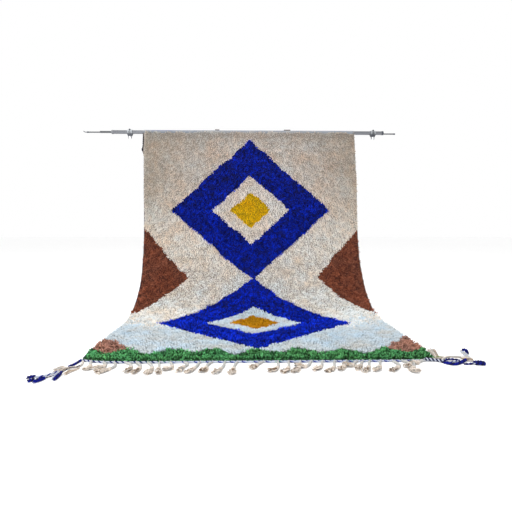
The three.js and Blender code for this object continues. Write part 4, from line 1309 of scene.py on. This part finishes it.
addTube("main_tube", tubeMetal, 0.0175, 0.0016)
for side in ("left", "right"):
    addTube(f"{side}_middle_tube", innerMetal, 0.010, 0.0014)
    addTube(f"{side}_thin_tube", innerMetal, 0.006, 0.001)

# Seats keep a small gap, as the solids do.
seatGap = 0.0003
endCap = {"radius": 0.0193, "skirt": 0.012, "plate": 0.0025, "bore": 0.0178, "bushRadius": 0.0156}
tipPlug = {"radius": 0.0068, "length": 0.019, "neck": 0.012, "neckRadius": 0.0047, "rounding": 0.0018}


# A ring cap over the main tube's end, with a bush inside the tube where the next stage is much thinner.
def addEndCap(side, way, hole, bush, material):
    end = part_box("main_tube")[0 if way < 0 else 1].x
    cap = endCap
    bushes = [(hole, -bush), (cap["bushRadius"], -bush), (cap["bushRadius"], seatGap)]
    outline = [(cap["radius"], -cap["skirt"]), (cap["radius"], cap["plate"]), (hole, cap["plate"]),
               *(bushes if bush else [(hole, seatGap)]), (cap["bore"], seatGap), (cap["bore"], -cap["skirt"])]
    at = (end, place["y"], place["pole"])
    made = addTurned(f"{side}_cap", outline, at, (way, 0, 0), material, 0.0007, 64, closed=True)
    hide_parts(f"{side}_end_cap")


addEndCap("left", -1, 0.0103, 0.030, greyPlastic)
addEndCap("right", 1, 0.0156, 0, darkPlastic)


# A rounded plug whose neck sits in the thin tube's end.
def addTipPlug(side, way):
    low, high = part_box(f"{side}_tip_plug")
    plug = tipPlug
    seat = (high.x - plug["neck"]) if way < 0 else (low.x + plug["neck"])
    outline = [(0, -plug["neck"]), (plug["neckRadius"], -plug["neck"]), (plug["neckRadius"], seatGap),
               (plug["radius"], seatGap), (plug["radius"], plug["length"]), (0, plug["length"])]
    at = (seat, (low.y + high.y) / 2, (low.z + high.z) / 2)
    made = addTurned(f"{side}_plug", outline, at, (way, 0, 0), darkPlastic, plug["rounding"], 32)
    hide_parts(f"{side}_tip_plug")


addTipPlug("left", -1)
addTipPlug("right", 1)

# The bent wire at the left tip follows the solid's curve, a parabola through its elbow, with a rounded end.
hook = {"radius": 0.0035, "reach": 0.0314, "rise": 0.0108, "elbow": (0.0224, 0.002), "roundFrom": 0.93}
low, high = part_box("left_tip_hook")
plugLow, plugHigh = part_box("left_tip_plug")
t = np.linspace(0, 1, 33)[:, None]
wireAt = np.array([high.x, (low.y + high.y) / 2, (plugLow.z + plugHigh.z) / 2])
elbow = wireAt - [hook["elbow"][0], 0, hook["elbow"][1]]
wireEnd = wireAt + [-hook["reach"], 0, hook["rise"]]
roundOff = np.sqrt(np.clip(1 - np.clip((t[:, 0] - hook["roundFrom"]) / 0.075, 0, 1) ** 2, 0.02, 1))
wire = Strands()
wire.add(wireAt * (1 - t) ** 2 + elbow * 2 * t * (1 - t) + wireEnd * t ** 2, hook["radius"] * roundOff,
         colourOf(60, 62, 66), 16, floor=False)
hookPiece = wire.piece("left_hook", "dark_plastic", darkPlastic)
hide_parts("left_tip_hook")

clamp = {"bore": 0.0178, "seat": 0.0228}
screw = {"angle": 55, "shank": 0.003, "head": 0.0095, "flange": 0.027, "tip": 0.0035, "reach": 0.034,
         "lobes": 10}
bolt = {"angle": -15, "shank": 0.003, "head": 0.0105, "reach": 0.029, "recess": 0.0045, "floor": 0.026}
upright = {"radius": 0.0125, "wall": 0.0015, "hollow": 0.012}
prong = {"at": 0.0136, "radius": 0.0029, "top": -0.034, "bottom": -0.060}


# What a clamp carries: the lobed thumb screw, the bolt with its six-sided recess, the short upright and two
# prongs. Screw and bolt stand square to the pole, turned up or down by their angles.
def addClampParts(side):
    low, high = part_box(f"{side}_clamp")
    at = ((low.x + high.x) / 2, place["y"], place["pole"])
    out = lambda angle: (0, -math.cos(math.radians(angle)), math.sin(math.radians(angle)))
    seat = clamp["seat"]
    shank = [(0, clamp["bore"]), (screw["shank"], clamp["bore"]), (screw["shank"], seat)]
    knob = [*shank, (screw["head"] * 0.8, seat), (screw["head"], seat + 0.0012),
            (screw["head"], screw["flange"]), (screw["tip"] * 1.25, screw["flange"] + 0.001),
            (screw["tip"], screw["reach"]), (0, screw["reach"])]
    made = addTurned(f"{side}_screw", knob, at, out(screw["angle"]), darkPlastic, 0.0007, 60,
                     lobes=screw["lobes"])
    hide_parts(f"{side}_thumb_screw")
    shank = [(0, clamp["bore"]), (bolt["shank"], clamp["bore"]), (bolt["shank"], seat)]
    head = [*shank, (bolt["head"], seat), (bolt["head"], bolt["reach"]), (bolt["recess"], bolt["reach"]),
            (bolt["recess"], bolt["floor"]), (0, bolt["floor"])]
    made = addTurned(f"{side}_bolt", head, at, out(bolt["angle"]), innerMetal, 0.0006, 60,
                     hexagon=bolt["recess"])
    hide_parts(f"{side}_clamp_bolt")
    low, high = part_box(f"{side}_spigot")
    outer, length = upright["radius"], high.z - low.z
    inner = outer - upright["wall"]
    tube = [(0, upright["hollow"]), (inner, upright["hollow"]), (inner, 0), (outer, 0), (outer, length),
            (0, length)]
    made = addTurned(f"{side}_upright", tube, (at[0], at[1], low.z), (0, 0, 1), uprightMetal, 0.0005, 48)
    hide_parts(f"{side}_spigot")
    leg = [(0, prong["bottom"]), (prong["radius"] * 0.8, prong["bottom"]), (prong["radius"], prong["top"]),
           (0, prong["top"])]
    for number, way in enumerate((-1, 1)):
        legAt = (at[0] + way * prong["at"], at[1], at[2])
        addTurned(f"{side}_prong_{number + 1}", leg, legAt, (0, 0, 1), darkPlastic, 0.001, 16)


# A copy of a node with its doubles merged and its edges bevelled.
def addBevelled(node, name, material, width):
    mesh = nodes[node].data.copy()
    mesh.materials.clear()
    mesh.materials.append(material)
    cleanSkin(mesh, 2e-5)
    mesh.polygons.foreach_set("use_smooth", np.ones(len(mesh.polygons), bool))
    made = addObject(name, mesh)
    bevel = made.modifiers.new("edges", "BEVEL")
    bevel.width, bevel.segments, bevel.limit_method, bevel.angle_limit = width, 2, "ANGLE", math.radians(35)
    bevel.harden_normals = True
    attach(made, "root")
    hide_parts(node)


for side in ("left", "right"):
    addClampParts(side)
    addBevelled(f"{side}_clamp", f"{side}_clamp_body", clampMetal, 0.0009)
    addBevelled(f"{side}_clip", f"{side}_snap_clip", brownPlastic, 0.0008)
print("pole parts")


# Floor
floorSize = {"reach": 40, "below": 0.0005}
floorMaterial, start, surface = newMaterial("paleFloor", Roughness=0.7)
floorTone = rampOf(noiseOn(start, objectPlace(start), 1.5), (0.3, 0.965), (0.7, 0.98))
plug(floorMaterial, surface, Base_Color=floorTone)
floorMesh = bpy.data.meshes.new("floor")
ways = ((-1, -1), (1, -1), (1, 1), (-1, 1))
floorCorners = [(x * floorSize["reach"], y * floorSize["reach"], -floorSize["below"]) for x, y in ways]
floorMesh.from_pydata(floorCorners, [], [(0, 1, 2, 3)])
floorMesh.materials.append(floorMaterial)
floor = addObject("floor", floorMesh)
